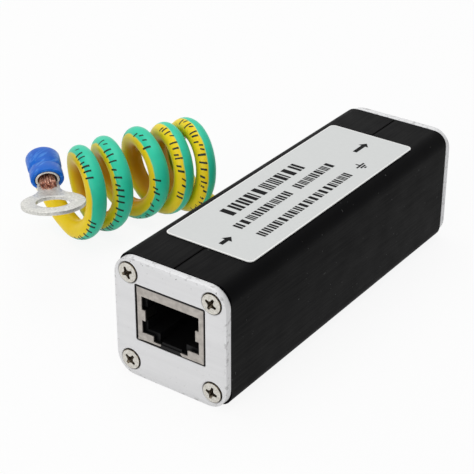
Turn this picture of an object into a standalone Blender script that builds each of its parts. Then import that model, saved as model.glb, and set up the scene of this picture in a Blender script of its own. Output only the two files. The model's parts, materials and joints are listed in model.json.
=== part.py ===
"""Inline ethernet surge protector: a split black extrusion with two silver end plates, a
socket at each end, and a coiled green and yellow earth lead that ends in a ring terminal.

Metres, +Z up. The origin is the bottom centre of the housing. The IN plate faces -Y, the OUT
plate and the earth lead's grommet face +Y, and the label is on top.
"""
import math

import bmesh
import bpy
from mathutils import Matrix, Vector

# Clearances
FIT = 0.0003            # between pieces that slide into or pass through each other
SEAT = 0.0002           # between flat faces that are screwed together
CRIMP_GAP = 0.00015     # between the crimped layers of the ring terminal
FILM_GAP = 0.0001       # under the label, and under the lead where it lies on the table

# Housing
BODY_WIDTH = 0.026
BODY_HEIGHT = 0.026
OVERALL_LENGTH = 0.084
CORNER_RADIUS = 0.0030
WALL = 0.0016
SEAM = 0.0003           # the visible joint between the halves
LIP_THICKNESS = 0.0006  # outer layer of the lap joint
TONGUE_LENGTH = 0.0012  # how far the inner layer reaches under the other half
RAIL_DEPTH = 0.0012
RAIL_THICKNESS = 0.0008

# End plates and their screws
PLATE_THICKNESS = 0.0015
PLATE_CORNER_RADIUS = 0.0042
PLATE_EDGE = 0.0003
SCREW_INSET = 0.0033    # screw axis from the housing's sides
SCREW_HEAD_RADIUS = 0.0021
SCREW_SHANK_RADIUS = 0.0012
SCREW_LENGTH = 0.0080
SCREW_EDGE = 0.0001     # of the head, above its cone
SCREW_TIP = 0.6         # of the shank's radius, taken off at the tip
CHANNEL_WALL = 0.0012
RECESS_LENGTH = 0.0027
RECESS_WIDTH = 0.0006
RECESS_DEPTH = 0.0010
RECESS_TAPER = 0.45     # the recess's width at its floor over that far above the head

# Circuit board
BOARD_THICKNESS = 0.0016

# Sockets
SHIELD_WIDTH = 0.0160
SHIELD_HEIGHT = 0.0120
SHIELD_DEPTH = 0.0175
SHIELD_SHEET = 0.0004
SHIELD_CORNER = 0.0005
SHIELD_RECESS = 0.0003  # the sockets' faces lie this far behind the plates' faces
SOCKET_RISE = 0.0016    # of the sockets' middle above the housing's middle
CUTOUT_CLEARANCE = 0.00025
CUTOUT_CORNER = 0.0004
WINDOW_WIDTH = 0.0134
WINDOW_HEIGHT = 0.0081
WINDOW_SILL = 0.0018    # from the shield's lower edge to the window
LATCH_STEP_WIDTH = 0.0081
LATCH_STEP_DROP = 0.0012
LATCH_SLOT_WIDTH = 0.0047
TAB_REACH = 0.0008      # the shield's side springs, seen in the window
TAB_HEIGHT = 0.0023
TAB_BOTTOM = 0.0028     # above the window's lower edge
TAB_DEPTH = 0.0030
PLUG_WIDTH = 0.0117
PLUG_HEIGHT = 0.0066
PLUG_CLEARANCE = 0.00015
PLUG_DEPTH = 0.0130
LATCH_WIDTH = 0.0062    # channel for the plug's latch, in the moulding
CONTACTS = 8
CONTACT_PITCH = 0.001016
CONTACT_WIRE = 0.00045
CONTACT_START = 0.0032  # behind the socket's face
CONTACT_TIP = 0.0094
CONTACT_DROP = 0.0020   # of the free tip below the cavity's roof

# Protection parts on the board
TUBE_RADIUS = 0.0025
TUBE_LENGTH = 0.0074
TUBE_BAND = 0.0009
TUBE_CERAMIC_RADIUS = 0.0023
DIODE_LENGTH = 0.0046
DIODE_WIDTH = 0.0036
DIODE_HEIGHT = 0.0023
RESISTOR_LENGTH = 0.0060
RESISTOR_RADIUS = 0.0012
RESISTOR_CAP = 0.0012   # length of each swollen end
RESISTOR_STEP = 0.0003  # of its rounding, and from the cap to the waist
RESISTOR_WAIST = 0.0002
STAGES = 4
STAGE_MARGIN = 0.0015   # between a socket and the first parts

# Label
LABEL_WIDTH = 0.0203
LABEL_LENGTH = 0.0602
LABEL_CORNER = 0.0012
LABEL_THICKNESS = 0.0002
LABEL_PLACE = Vector((0.0004, -0.0006))     # its middle, a little off the housing's

# Earth lead, grommet and coil
LEAD_RADIUS = 0.0023
CORE_RADIUS = 0.0009
GROMMET_FLANGE_RADIUS = 0.00385
GROMMET_FLANGE = 0.0011
GROMMET_NECK_WALL = 0.00045
INNER_LEAD_LENGTH = 0.0100
COIL_RADIUS = 0.00831   # to the middle of the wire
COIL_HEADING = math.radians(67.2)
COIL_START = Vector((-0.05510, -0.00638))
COIL_STEPS = (0.00618, 0.00823, 0.00744, 0.00614, 0.00494)
TAIL_SPACING = 0.0060   # between the sections of the wire's two free runs
END_SPACING = 0.0030
END_STRAIGHT = 0.0010   # of the wire behind the ring terminal's sleeve

# Ring terminal
TERMINAL_MOUTH = Vector((-0.0526, -0.0168, 0.0190))
TERMINAL_TURN = math.radians(48.0)
RING_TILT = math.radians(9.5)
RING_RADIUS = 0.0068
RING_HOLE_RADIUS = 0.00365
RING_SHEET = 0.0009
RING_TO_MOUTH = 0.0116
RING_FLARE = 28.0       # degrees from the tongue's middle to where the ring runs into it
TONGUE_WIDTH = 0.0042
TONGUE_NECK = 0.0012    # beyond the ring's edge, where the tongue is down to its width
CRADLE_LENGTH = 0.0016  # open part of the barrel in front of the sleeve
BARREL_LENGTH = 0.0060
SLEEVE_LENGTH = 0.0106
SLEEVE_HALF_WIDTH = 0.00365
SLEEVE_FLATNESS = 0.72  # height over width of the crimped sleeve
SLEEVE_WALL = 0.0009
SLEEVE_NIP = 0.0003     # depth of the tool's groove
SLEEVE_NIP_PLACE = 0.42     # of the sleeve's length, from its mouth
SLEEVE_RIM = 0.0003
STRAND_CHAMFER = 0.0003
BARREL_WALL = 0.0005

SHELL_LENGTH = OVERALL_LENGTH - 2 * (PLATE_THICKNESS + SEAT)
BOARD_TOP = BODY_HEIGHT / 2 + SOCKET_RISE - SHIELD_HEIGHT / 2 - FIT
CHANNEL_RADIUS = SCREW_SHANK_RADIUS + FIT
TAB_INSET = SHIELD_SHEET / 4    # of the side springs, behind the window's outline
LEAD_HEIGHT = WALL + SEAT + LEAD_RADIUS     # the lead enters along the housing's floor
CORNER_STEPS = 6
ROUND_STEPS = 24


def clear_scene():
    for obj in list(bpy.data.objects):
        bpy.data.objects.remove(obj, do_unlink=True)


def new_collection(name):
    collection = bpy.data.collections.new(name)
    bpy.context.scene.collection.children.link(collection)
    return collection


def make_material(name, colour, roughness, metallic=0.0):
    material = bpy.data.materials.new(name)
    material.use_nodes = True
    shader = material.node_tree.nodes["Principled BSDF"]
    shader.inputs["Base Color"].default_value = (*colour, 1.0)
    shader.inputs["Roughness"].default_value = roughness
    shader.inputs["Metallic"].default_value = metallic
    return material


def add_object(name, mesh, material, collection, parent=None):
    obj = bpy.data.objects.new(name, mesh)
    collection.objects.link(obj)
    obj.parent = parent
    if material and not mesh.materials:
        mesh.materials.append(material)
    return obj


def shade(mesh, angle=35.0):
    mesh.shade_smooth()
    mesh.set_sharp_from_angle(angle=math.radians(angle))


def evaluated_mesh(obj, name):
    """The object's mesh with its modifiers applied."""
    graph = bpy.context.evaluated_depsgraph_get()
    return bpy.data.meshes.new_from_object(obj.evaluated_get(graph), depsgraph=graph)


def curve_to_mesh(curve, name):
    """Turns a curve into a closed mesh whose caps are welded on."""
    temporary = bpy.data.objects.new(name + "_curve", curve)
    bpy.context.scene.collection.objects.link(temporary)
    mesh = evaluated_mesh(temporary, name)
    bpy.data.objects.remove(temporary, do_unlink=True)
    bm = bmesh.new()
    bm.from_mesh(mesh)
    bmesh.ops.remove_doubles(bm, verts=bm.verts, dist=0.000001)
    bmesh.ops.recalc_face_normals(bm, faces=bm.faces)
    bm.to_mesh(mesh)
    bm.free()
    mesh.name = name
    return mesh


def prism_mesh(name, loops, thickness):
    """A flat outline in XY, with holes where loops lie inside it, extruded evenly along Z."""
    curve = bpy.data.curves.new(name, "CURVE")
    curve.dimensions = "2D"
    curve.fill_mode = "BOTH"
    curve.extrude = thickness / 2
    for loop in loops:
        spline = curve.splines.new("POLY")
        spline.points.add(len(loop) - 1)
        for point, (x, y) in zip(spline.points, loop):
            point.co = (x, y, 0.0, 1.0)
        spline.use_cyclic_u = True
    return curve_to_mesh(curve, name)


def upright(mesh, y=0.0, z=0.0):
    """Stands an XY outline up in the XZ plane, with its thickness along Y."""
    mesh.transform(Matrix.Translation((0.0, y, z)) @ Matrix.Rotation(math.pi / 2, 4, "X"))
    return mesh


def box_mesh(name, x0, x1, y0, y1, z0, z1):
    bm = bmesh.new()
    bmesh.ops.create_cube(bm, size=1.0)
    bmesh.ops.scale(bm, vec=(x1 - x0, y1 - y0, z1 - z0), verts=bm.verts)
    bmesh.ops.translate(bm, vec=((x0 + x1) / 2, (y0 + y1) / 2, (z0 + z1) / 2), verts=bm.verts)
    mesh = bpy.data.meshes.new(name)
    bm.to_mesh(mesh)
    bm.free()
    return mesh


def turned_mesh(name, profile, closed=False, steps=ROUND_STEPS):
    """A profile of (radius, height) pairs, from top to bottom, turned about Z."""
    mesh = bpy.data.meshes.new(name)
    edges = [(i, i + 1) for i in range(len(profile) - 1)]
    if closed:
        edges.append((len(profile) - 1, 0))
    mesh.from_pydata([(r, 0.0, z) for r, z in profile], edges, [])
    obj = bpy.data.objects.new(name, mesh)
    bpy.context.scene.collection.objects.link(obj)
    screw = obj.modifiers.new("Turn", "SCREW")
    screw.steps = steps
    screw.render_steps = steps
    screw.use_merge_vertices = True
    screw.merge_threshold = 0.000001
    result = evaluated_mesh(obj, name)
    bpy.data.objects.remove(obj, do_unlink=True)
    bpy.data.meshes.remove(mesh)
    result.name = name
    return result


def arc(cx, cy, radius, start, end, steps):
    """Points along an arc, its angles in degrees, both ends included."""
    angles = [math.radians(start + (end - start) * i / steps) for i in range(steps + 1)]
    return [(cx + radius * math.cos(a), cy + radius * math.sin(a)) for a in angles]


def circle(cx, cy, radius, steps=ROUND_STEPS):
    return arc(cx, cy, radius, 0, 360 - 360 / steps, steps - 1)


def rounded_rectangle(width, height, radius, cx=0.0, cy=0.0, steps=CORNER_STEPS):
    x = width / 2 - radius
    y = height / 2 - radius
    points = arc(cx + x, cy + y, radius, 0, 90, steps)
    points += arc(cx - x, cy + y, radius, 90, 180, steps)
    points += arc(cx - x, cy - y, radius, 180, 270, steps)
    points += arc(cx + x, cy - y, radius, 270, 360, steps)
    return points


def add_cutter(name, mesh, collection, parent=None):
    cutter = add_object(name, mesh, None, collection, parent)
    cutter.hide_render = True
    cutter.display_type = "WIRE"
    return cutter


def boolean(obj, other, operation="DIFFERENCE"):
    modifier = obj.modifiers.new(other.name, "BOOLEAN")
    modifier.operation = operation
    modifier.solver = "EXACT"
    modifier.object = other


def smooth_route(points, spacing):
    """A Catmull-Rom curve through the route's points, read at even steps near the spacing."""
    path = [Vector(p) for p in points]
    path = [2 * path[0] - path[1]] + path + [2 * path[-1] - path[-2]]
    fine = []
    for a, b, c, d in zip(path, path[1:], path[2:], path[3:]):
        for i in range(20):
            t = i / 20
            fine.append(0.5 * (2 * b + (c - a) * t + (2 * a - 5 * b + 4 * c - d) * t ** 2
                               + (3 * b - a - 3 * c + d) * t ** 3))
    fine.append(path[-2])
    lengths = [0.0]
    for a, b in zip(fine, fine[1:]):
        lengths.append(lengths[-1] + (b - a).length)
    count = max(2, round(lengths[-1] / spacing))
    result = []
    index = 0
    for k in range(count + 1):
        wanted = lengths[-1] * k / count
        while index < len(fine) - 2 and lengths[index + 1] < wanted:
            index += 1
        part = (wanted - lengths[index]) / (lengths[index + 1] - lengths[index])
        result.append(fine[index].lerp(fine[index + 1], part))
    return result


def wire_mesh(name, points, radius, resolution=2):
    curve = bpy.data.curves.new(name, "CURVE")
    curve.dimensions = "3D"
    curve.bevel_depth = radius
    curve.bevel_resolution = resolution
    curve.use_fill_caps = True
    spline = curve.splines.new("POLY")
    spline.points.add(len(points) - 1)
    for point, place in zip(spline.points, points):
        point.co = (*place, 1.0)
    mesh = curve_to_mesh(curve, name)
    shade(mesh, 60.0)
    return mesh


def shell_outline(tongue):
    """Section of one half, measured outward from the seam, with or without the lap's tongue."""
    half = BODY_WIDTH / 2
    inner = half - WALL
    if tongue:
        lap = [(SEAM / 2, 0.0), (SEAM / 2, LIP_THICKNESS + FIT),
               (-TONGUE_LENGTH, LIP_THICKNESS + FIT), (-TONGUE_LENGTH, WALL)]
    else:
        lap = [(SEAM / 2, 0.0), (SEAM / 2, LIP_THICKNESS),
               (TONGUE_LENGTH + FIT, LIP_THICKNESS), (TONGUE_LENGTH + FIT, WALL)]
    corner = half - CORNER_RADIUS
    points = arc(corner, BODY_HEIGHT - CORNER_RADIUS, CORNER_RADIUS, 90, 0, CORNER_STEPS)
    points += arc(corner, CORNER_RADIUS, CORNER_RADIUS, 0, -90, CORNER_STEPS)
    points += lap
    points += [(inner, WALL), (inner, BODY_HEIGHT - WALL)]
    points += [(x, BODY_HEIGHT - z) for x, z in reversed(lap)]
    return points


def make_shell(name, side, tongue, material, parts, cutters):
    """One half of the extrusion: board rails, and screw channels relieved where the sockets pass."""
    outline = [(side * x, z) for x, z in shell_outline(tongue)]
    mesh = upright(prism_mesh(name, [outline], SHELL_LENGTH))
    shell = add_object(name, mesh, material, parts)
    ribs = SHELL_LENGTH - 2 * FIT
    inner = BODY_WIDTH / 2 - WALL
    near, far = sorted((side * (inner - RAIL_DEPTH), side * (inner + WALL / 2)))
    rails = {"upper": BOARD_TOP + FIT, "lower": BOARD_TOP - BOARD_THICKNESS - FIT - RAIL_THICKNESS}
    for label, low in rails.items():
        rail = box_mesh("rail", near, far, -ribs / 2, ribs / 2, low, low + RAIL_THICKNESS)
        boolean(shell, add_cutter(f"{name}_{label}_rail", rail, cutters), "UNION")
    boss_x = side * (BODY_WIDTH / 2 - SCREW_INSET)
    for label, z in (("lower", SCREW_INSET), ("upper", BODY_HEIGHT - SCREW_INSET)):
        boss = upright(prism_mesh("boss", [circle(boss_x, z, CHANNEL_RADIUS + CHANNEL_WALL, 20)], ribs))
        boolean(shell, add_cutter(f"{name}_{label}_boss", boss, cutters), "UNION")
        channel = upright(prism_mesh("channel", [circle(boss_x, z, CHANNEL_RADIUS, 16)],
                                     SHELL_LENGTH + 2 * WALL))
        boolean(shell, add_cutter(f"{name}_{label}_channel", channel, cutters))
    relief = rounded_rectangle(SHIELD_WIDTH + 2 * FIT, SHIELD_HEIGHT + 2 * FIT, SHIELD_CORNER + FIT,
                               0.0, shield_bottom() + SHIELD_HEIGHT / 2, 3)
    passage = upright(prism_mesh("passage", [relief], SHELL_LENGTH + 2 * WALL))
    boolean(shell, add_cutter(f"{name}_socket_passage", passage, cutters))
    shade(mesh)
    return shell


def shield_bottom():
    return BOARD_TOP + FIT


def screw_places():
    x = BODY_WIDTH / 2 - SCREW_INSET
    return [(sx * x, z) for z in (SCREW_INSET, BODY_HEIGHT - SCREW_INSET) for sx in (-1, 1)]


def countersink_mesh(name):
    """The screw's clearance in the plate, its mouth at z = 0 and its axis along -Z."""
    mouth = SCREW_HEAD_RADIUS + FIT
    drop = SCREW_HEAD_RADIUS - SCREW_SHANK_RADIUS
    above = PLATE_THICKNESS
    profile = [(0.0, above), (mouth + above, above), (mouth, 0.0), (mouth - drop, -drop),
               (mouth - drop, -2 * PLATE_THICKNESS), (0.0, -2 * PLATE_THICKNESS)]
    return turned_mesh(name, profile)


def make_plate(name, facing, material, parts, cutters, lead_hole=False):
    """An end plate whose outer face looks along facing, which is -1 or 1 on the Y axis."""
    outline = rounded_rectangle(BODY_WIDTH, BODY_HEIGHT, PLATE_CORNER_RADIUS, 0.0, BODY_HEIGHT / 2, 8)
    middle = facing * (OVERALL_LENGTH - PLATE_THICKNESS) / 2
    mesh = upright(prism_mesh(name, [outline], PLATE_THICKNESS), middle)
    plate = add_object(name, mesh, material, parts)
    bevel = plate.modifiers.new("Worn edge", "BEVEL")
    bevel.width = PLATE_EDGE
    bevel.segments = 2
    bevel.limit_method = "ANGLE"
    bevel.angle_limit = math.radians(50.0)
    opening = rounded_rectangle(SHIELD_WIDTH + 2 * CUTOUT_CLEARANCE, SHIELD_HEIGHT + 2 * CUTOUT_CLEARANCE,
                                CUTOUT_CORNER, 0.0, shield_bottom() + SHIELD_HEIGHT / 2, 3)
    cutout = upright(prism_mesh(name + "_cutout", [opening], 3 * PLATE_THICKNESS), middle)
    boolean(plate, add_cutter(name + "_cutout", cutout, cutters))
    sink_mesh = countersink_mesh(name + "_sink")
    for number, (x, z) in enumerate(screw_places(), 1):
        sink = add_cutter(f"{name}_sink_{number}", sink_mesh, cutters)
        sink.location = (x, facing * OVERALL_LENGTH / 2, z)
        sink.rotation_euler = (-facing * math.pi / 2, 0.0, 0.0)
        boolean(plate, sink)
    if lead_hole:
        radius = LEAD_RADIUS + FIT + GROMMET_NECK_WALL + FIT
        hole = upright(prism_mesh(name + "_lead_hole", [circle(0.0, LEAD_HEIGHT, radius)],
                                  3 * PLATE_THICKNESS), middle)
        boolean(plate, add_cutter(name + "_lead_hole", hole, cutters))
    return plate


def screw_mesh(cutters):
    """A flush cross-head screw, its head's top at z = 0 and its tip along -Z."""
    drop = SCREW_HEAD_RADIUS - SCREW_SHANK_RADIUS
    tip = SCREW_TIP * SCREW_SHANK_RADIUS
    profile = [(0.0, 0.0), (SCREW_HEAD_RADIUS - SCREW_EDGE, 0.0), (SCREW_HEAD_RADIUS, -SCREW_EDGE),
               (SCREW_SHANK_RADIUS, -drop - SCREW_EDGE), (SCREW_SHANK_RADIUS, -SCREW_LENGTH + tip),
               (SCREW_SHANK_RADIUS - tip, -SCREW_LENGTH), (0.0, -SCREW_LENGTH)]
    blank = add_object("screw_blank", turned_mesh("screw_blank", profile), None, cutters)
    for number in range(2):
        arm = add_cutter(f"screw_recess_{number + 1}", box_mesh(
            "recess_arm", -RECESS_LENGTH / 2, RECESS_LENGTH / 2, -RECESS_WIDTH / 2, RECESS_WIDTH / 2,
            -RECESS_DEPTH, RECESS_DEPTH), cutters)
        for vertex in arm.data.vertices:
            if vertex.co.z < 0.0:
                vertex.co.x *= RECESS_TAPER
                vertex.co.y *= RECESS_TAPER
        arm.rotation_euler = (0.0, 0.0, number * math.pi / 2)
        boolean(blank, arm)
    bpy.context.view_layer.update()
    mesh = evaluated_mesh(blank, "screw")
    bpy.data.objects.remove(blank, do_unlink=True)
    mesh.name = "end_screw"
    shade(mesh)
    return mesh


def make_screws(prefix, facing, mesh, material, parts):
    for number, (x, z) in enumerate(screw_places(), 1):
        screw = add_object(f"{prefix}_screw_{number}", mesh, material, parts)
        screw.location = (x, facing * OVERALL_LENGTH / 2, z)
        screw.rotation_euler = (-facing * math.pi / 2, 0.0, 0.0)


def window_outline():
    """The shield's window in XZ, from the shield's lower edge up, with its latch slot and tabs."""
    half = WINDOW_WIDTH / 2
    step = LATCH_STEP_WIDTH / 2
    slot = LATCH_SLOT_WIDTH / 2
    tab = half - TAB_REACH
    sill = WINDOW_SILL
    tab_low = sill + TAB_BOTTOM
    right = [(slot, -SHIELD_SHEET), (slot, sill - LATCH_STEP_DROP), (step, sill - LATCH_STEP_DROP),
             (step, sill), (half, sill), (half, tab_low), (tab, tab_low),
             (tab, tab_low + TAB_HEIGHT), (half, tab_low + TAB_HEIGHT), (half, sill + WINDOW_HEIGHT)]
    return right + [(-x, z) for x, z in reversed(right)]


def cavity_centre():
    """Height of the plug's middle above the shield's lower edge."""
    return WINDOW_SILL + WINDOW_HEIGHT / 2


def make_shield(prefix, socket, material, parts, cutters):
    """Folded sheet with a face, sides, top and rear, open underneath."""
    outline = rounded_rectangle(SHIELD_WIDTH, SHIELD_HEIGHT, SHIELD_CORNER, 0.0, SHIELD_HEIGHT / 2, 3)
    mesh = upright(prism_mesh(prefix + "_shield", [outline], SHIELD_DEPTH), SHIELD_DEPTH / 2)
    shield = add_object(prefix + "_shield", mesh, material, parts, socket)
    half = SHIELD_WIDTH / 2 - SHIELD_SHEET
    inside = add_cutter(prefix + "_shield_inside", box_mesh(
        "inside", -half, half, SHIELD_SHEET, SHIELD_DEPTH - SHIELD_SHEET, -SHIELD_SHEET,
        SHIELD_HEIGHT - SHIELD_SHEET), cutters, socket)
    boolean(shield, inside)
    window = upright(prism_mesh(prefix + "_window", [window_outline()], 3 * SHIELD_SHEET))
    boolean(shield, add_cutter(prefix + "_window", window, cutters, socket))
    tab_low = WINDOW_SILL + TAB_BOTTOM + TAB_INSET
    tab_x = WINDOW_WIDTH / 2 - TAB_REACH + TAB_INSET
    for side, label in ((-1, "left"), (1, "right")):
        low, high = sorted((side * tab_x, side * (tab_x + SHIELD_SHEET)))
        spring = add_cutter(f"{prefix}_spring_{label}", box_mesh(
            "spring", low, high, SHIELD_SHEET / 2, TAB_DEPTH, tab_low, tab_low + TAB_HEIGHT - 2 * TAB_INSET),
            cutters, socket)
        boolean(shield, spring, "UNION")
    return shield


def make_insert(prefix, socket, material, parts, cutters):
    """Black moulding inside the shield, with the plug's cavity, latch channel and wire trough."""
    half = SHIELD_WIDTH / 2 - SHIELD_SHEET - FIT
    front = SHIELD_SHEET + FIT
    rear = SHIELD_DEPTH - SHIELD_SHEET - FIT
    top = SHIELD_HEIGHT - SHIELD_SHEET - FIT
    insert = add_object(prefix + "_insert", box_mesh(prefix + "_insert", -half, half, front, rear, 0.0, top),
                        material, parts, socket)
    plug = PLUG_WIDTH / 2 + PLUG_CLEARANCE
    roof = cavity_centre() + PLUG_HEIGHT / 2 + PLUG_CLEARANCE
    floor = cavity_centre() - PLUG_HEIGHT / 2 - PLUG_CLEARANCE
    cavity = box_mesh("cavity", -plug, plug, front - FIT, PLUG_DEPTH, floor, roof)
    boolean(insert, add_cutter(prefix + "_cavity", cavity, cutters, socket))
    latch = box_mesh("latch", -LATCH_WIDTH / 2, LATCH_WIDTH / 2, front - FIT, PLUG_DEPTH - WALL,
                     WINDOW_SILL - LATCH_STEP_DROP, floor + FIT)
    boolean(insert, add_cutter(prefix + "_latch", latch, cutters, socket))
    slot = WINDOW_WIDTH / 2 - TAB_REACH + TAB_INSET + SHIELD_SHEET + FIT
    tab_low = WINDOW_SILL + TAB_BOTTOM - FIT
    slots = box_mesh("slots", -slot, slot, front - FIT, TAB_DEPTH + FIT, tab_low,
                     tab_low + TAB_HEIGHT + 2 * FIT)
    boolean(insert, add_cutter(prefix + "_tab_slots", slots, cutters, socket))
    width = (CONTACTS - 1) * CONTACT_PITCH / 2 + CONTACT_WIRE / 2 + FIT
    trough = box_mesh("trough", -width, width, CONTACT_START - CONTACT_WIRE, rear + FIT,
                      roof - FIT, top + FIT)
    boolean(insert, add_cutter(prefix + "_trough", trough, cutters, socket))
    back = rear - FIT - 2 * CONTACT_WIRE
    riser = box_mesh("riser", -width, width, back, rear + FIT, -FIT, roof)
    boolean(insert, add_cutter(prefix + "_riser", riser, cutters, socket))
    return insert


def make_contacts(prefix, socket, material, parts):
    """Gold spring wires: a free tip in the cavity, a run along the roof, and a tail to the board."""
    roof = cavity_centre() + PLUG_HEIGHT / 2 + PLUG_CLEARANCE
    run = SHIELD_HEIGHT - SHIELD_SHEET - FIT - CONTACT_WIRE / 2
    rear = SHIELD_DEPTH - SHIELD_SHEET - FIT - CONTACT_WIRE
    bend = CONTACT_WIRE
    bend_radius = (run - roof) / 2
    side = [(CONTACT_TIP, roof - CONTACT_DROP)]
    side += arc(CONTACT_START + bend_radius, roof + bend_radius, bend_radius, 250, 90, 4)
    side += arc(rear - bend, run - bend, bend, 90, 0, 2)
    side += [(rear, CONTACT_WIRE / 2)]
    mesh = wire_mesh(prefix + "_contact", [(0.0, y, z) for y, z in side], CONTACT_WIRE / 2, 1)
    for number in range(CONTACTS):
        contact = add_object(f"{prefix}_contact_{number + 1}", mesh, material, parts, socket)
        contact.location = ((number - (CONTACTS - 1) / 2) * CONTACT_PITCH, 0.0, 0.0)


def make_socket(prefix, facing, materials, parts, cutters):
    socket = bpy.data.objects.new(prefix + "_socket", None)
    parts.objects.link(socket)
    socket.location = (0.0, facing * (OVERALL_LENGTH / 2 - SHIELD_RECESS), shield_bottom())
    socket.rotation_euler = (0.0, 0.0, 0.0 if facing < 0 else math.pi)
    make_shield(prefix, socket, materials["shield"], parts, cutters)
    make_insert(prefix, socket, materials["insert"], parts, cutters)
    make_contacts(prefix, socket, materials["gold"], parts)


def make_board(material, parts):
    width = BODY_WIDTH - 2 * (WALL + FIT)
    length = SHELL_LENGTH - 2 * FIT
    mesh = box_mesh("circuit_board", -width / 2, width / 2, -length / 2, length / 2,
                    BOARD_TOP - BOARD_THICKNESS, BOARD_TOP)
    return add_object("circuit_board", mesh, material, parts)


def tube_profile():
    """Two end electrodes and a middle one, joined by ceramic rings."""
    half = TUBE_LENGTH / 2
    band = TUBE_BAND / 2
    points = [(0.0, half), (TUBE_RADIUS, half), (TUBE_RADIUS, half - TUBE_BAND),
              (TUBE_CERAMIC_RADIUS, half - TUBE_BAND), (TUBE_CERAMIC_RADIUS, band), (TUBE_RADIUS, band)]
    return points + [(r, -z) for r, z in reversed(points)]


def resistor_profile():
    """A body with swollen ends."""
    half = RESISTOR_LENGTH / 2
    inner = half - RESISTOR_CAP
    points = [(0.0, half), (RESISTOR_RADIUS - RESISTOR_STEP, half), (RESISTOR_RADIUS, half - RESISTOR_STEP),
              (RESISTOR_RADIUS, inner), (RESISTOR_RADIUS - RESISTOR_WAIST, inner - RESISTOR_STEP)]
    return points + [(r, -z) for r, z in reversed(points)]


def diode_mesh():
    """Moulded block with a folded tab at each end."""
    bm = bmesh.new()
    bmesh.ops.create_cube(bm, size=1.0)
    bmesh.ops.scale(bm, vec=(DIODE_LENGTH, DIODE_WIDTH, DIODE_HEIGHT), verts=bm.verts)
    bmesh.ops.bevel(bm, geom=[e for e in bm.edges if all(v.co.z > 0 for v in e.verts)],
                    offset=DIODE_HEIGHT / 5, segments=1, affect="EDGES")
    bmesh.ops.translate(bm, vec=(0.0, 0.0, DIODE_HEIGHT / 2), verts=bm.verts)
    mesh = bpy.data.meshes.new("suppressor_diode")
    bm.to_mesh(mesh)
    bm.free()
    return mesh


def make_protection_parts(materials, parts):
    tube = turned_mesh("gas_tube", tube_profile(), steps=16)
    shade(tube)
    resistor = turned_mesh("series_resistor", resistor_profile(), steps=12)
    shade(resistor)
    diode = diode_mesh()
    free_length = OVERALL_LENGTH - 2 * (SHIELD_RECESS + SHIELD_DEPTH + STAGE_MARGIN)
    edge = BODY_WIDTH / 2 - WALL - RAIL_DEPTH - 2 * FIT
    tube_x = TUBE_LENGTH / 2 - edge
    resistor_x = tube_x + TUBE_LENGTH / 2 + FIT + RESISTOR_RADIUS
    for number in range(STAGES):
        y = (number - (STAGES - 1) / 2) * free_length / STAGES
        gas = add_object(f"gas_tube_{number + 1}", tube, materials["ceramic"], parts)
        gas.location = (tube_x, y, BOARD_TOP + FIT + TUBE_RADIUS)
        gas.rotation_euler = (0.0, math.pi / 2, 0.0)
        series = add_object(f"series_resistor_{number + 1}", resistor, materials["resistor"], parts)
        series.location = (resistor_x, y, BOARD_TOP + FIT + RESISTOR_RADIUS)
        series.rotation_euler = (math.pi / 2, 0.0, 0.0)
        block = add_object(f"suppressor_diode_{number + 1}", diode, materials["insert"], parts)
        block.location = (edge - DIODE_LENGTH / 2, y, BOARD_TOP + FIT)


def make_label(material, parts):
    outline = rounded_rectangle(LABEL_WIDTH, LABEL_LENGTH, LABEL_CORNER)
    label = add_object("label", prism_mesh("label", [outline], LABEL_THICKNESS), material, parts)
    label.location = (*LABEL_PLACE, BODY_HEIGHT + FILM_GAP + LABEL_THICKNESS / 2)


def make_grommet(material, parts):
    """A flanged rubber bush, turned about the lead's axis."""
    bore = LEAD_RADIUS + FIT
    neck = bore + GROMMET_NECK_WALL
    rim = GROMMET_FLANGE / 3
    profile = [(bore, GROMMET_FLANGE), (GROMMET_FLANGE_RADIUS - rim, GROMMET_FLANGE),
               (GROMMET_FLANGE_RADIUS, GROMMET_FLANGE - rim), (GROMMET_FLANGE_RADIUS, FIT),
               (neck, FIT), (neck, -PLATE_THICKNESS), (bore, -PLATE_THICKNESS)]
    mesh = turned_mesh("grommet", profile, closed=True)
    shade(mesh)
    grommet = add_object("grommet", mesh, material, parts)
    grommet.location = (0.0, OVERALL_LENGTH / 2, LEAD_HEIGHT)
    grommet.rotation_euler = (-math.pi / 2, 0.0, 0.0)


def make_inner_lead(materials, parts):
    """The lead's end inside the housing: insulation to the bush, and a core up to the board."""
    face = OVERALL_LENGTH / 2
    end = OVERALL_LENGTH / 2 - INNER_LEAD_LENGTH
    insulation = turned_mesh("inner_lead", [(0.0, face), (LEAD_RADIUS, face), (LEAD_RADIUS, end), (0.0, end)],
                             steps=12)
    shade(insulation)
    lead = add_object("inner_lead", insulation, materials["lead"], parts)
    lead.location = (0.0, 0.0, LEAD_HEIGHT)
    lead.rotation_euler = (-math.pi / 2, 0.0, 0.0)
    board_bottom = BOARD_TOP - BOARD_THICKNESS
    rise = board_bottom - FIT - CORE_RADIUS
    route = [(0.0, end - FIT, LEAD_HEIGHT), (0.0, end - 2 * CORE_RADIUS, LEAD_HEIGHT),
             (0.0, end - 4 * CORE_RADIUS, (LEAD_HEIGHT + rise) / 2), (0.0, end - 6 * CORE_RADIUS, rise),
             (0.0, end - 9 * CORE_RADIUS, rise)]
    add_object("inner_core", wire_mesh("inner_core", route, CORE_RADIUS), materials["copper"], parts)


def coil_height():
    return COIL_RADIUS + LEAD_RADIUS + FILM_GAP


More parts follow.
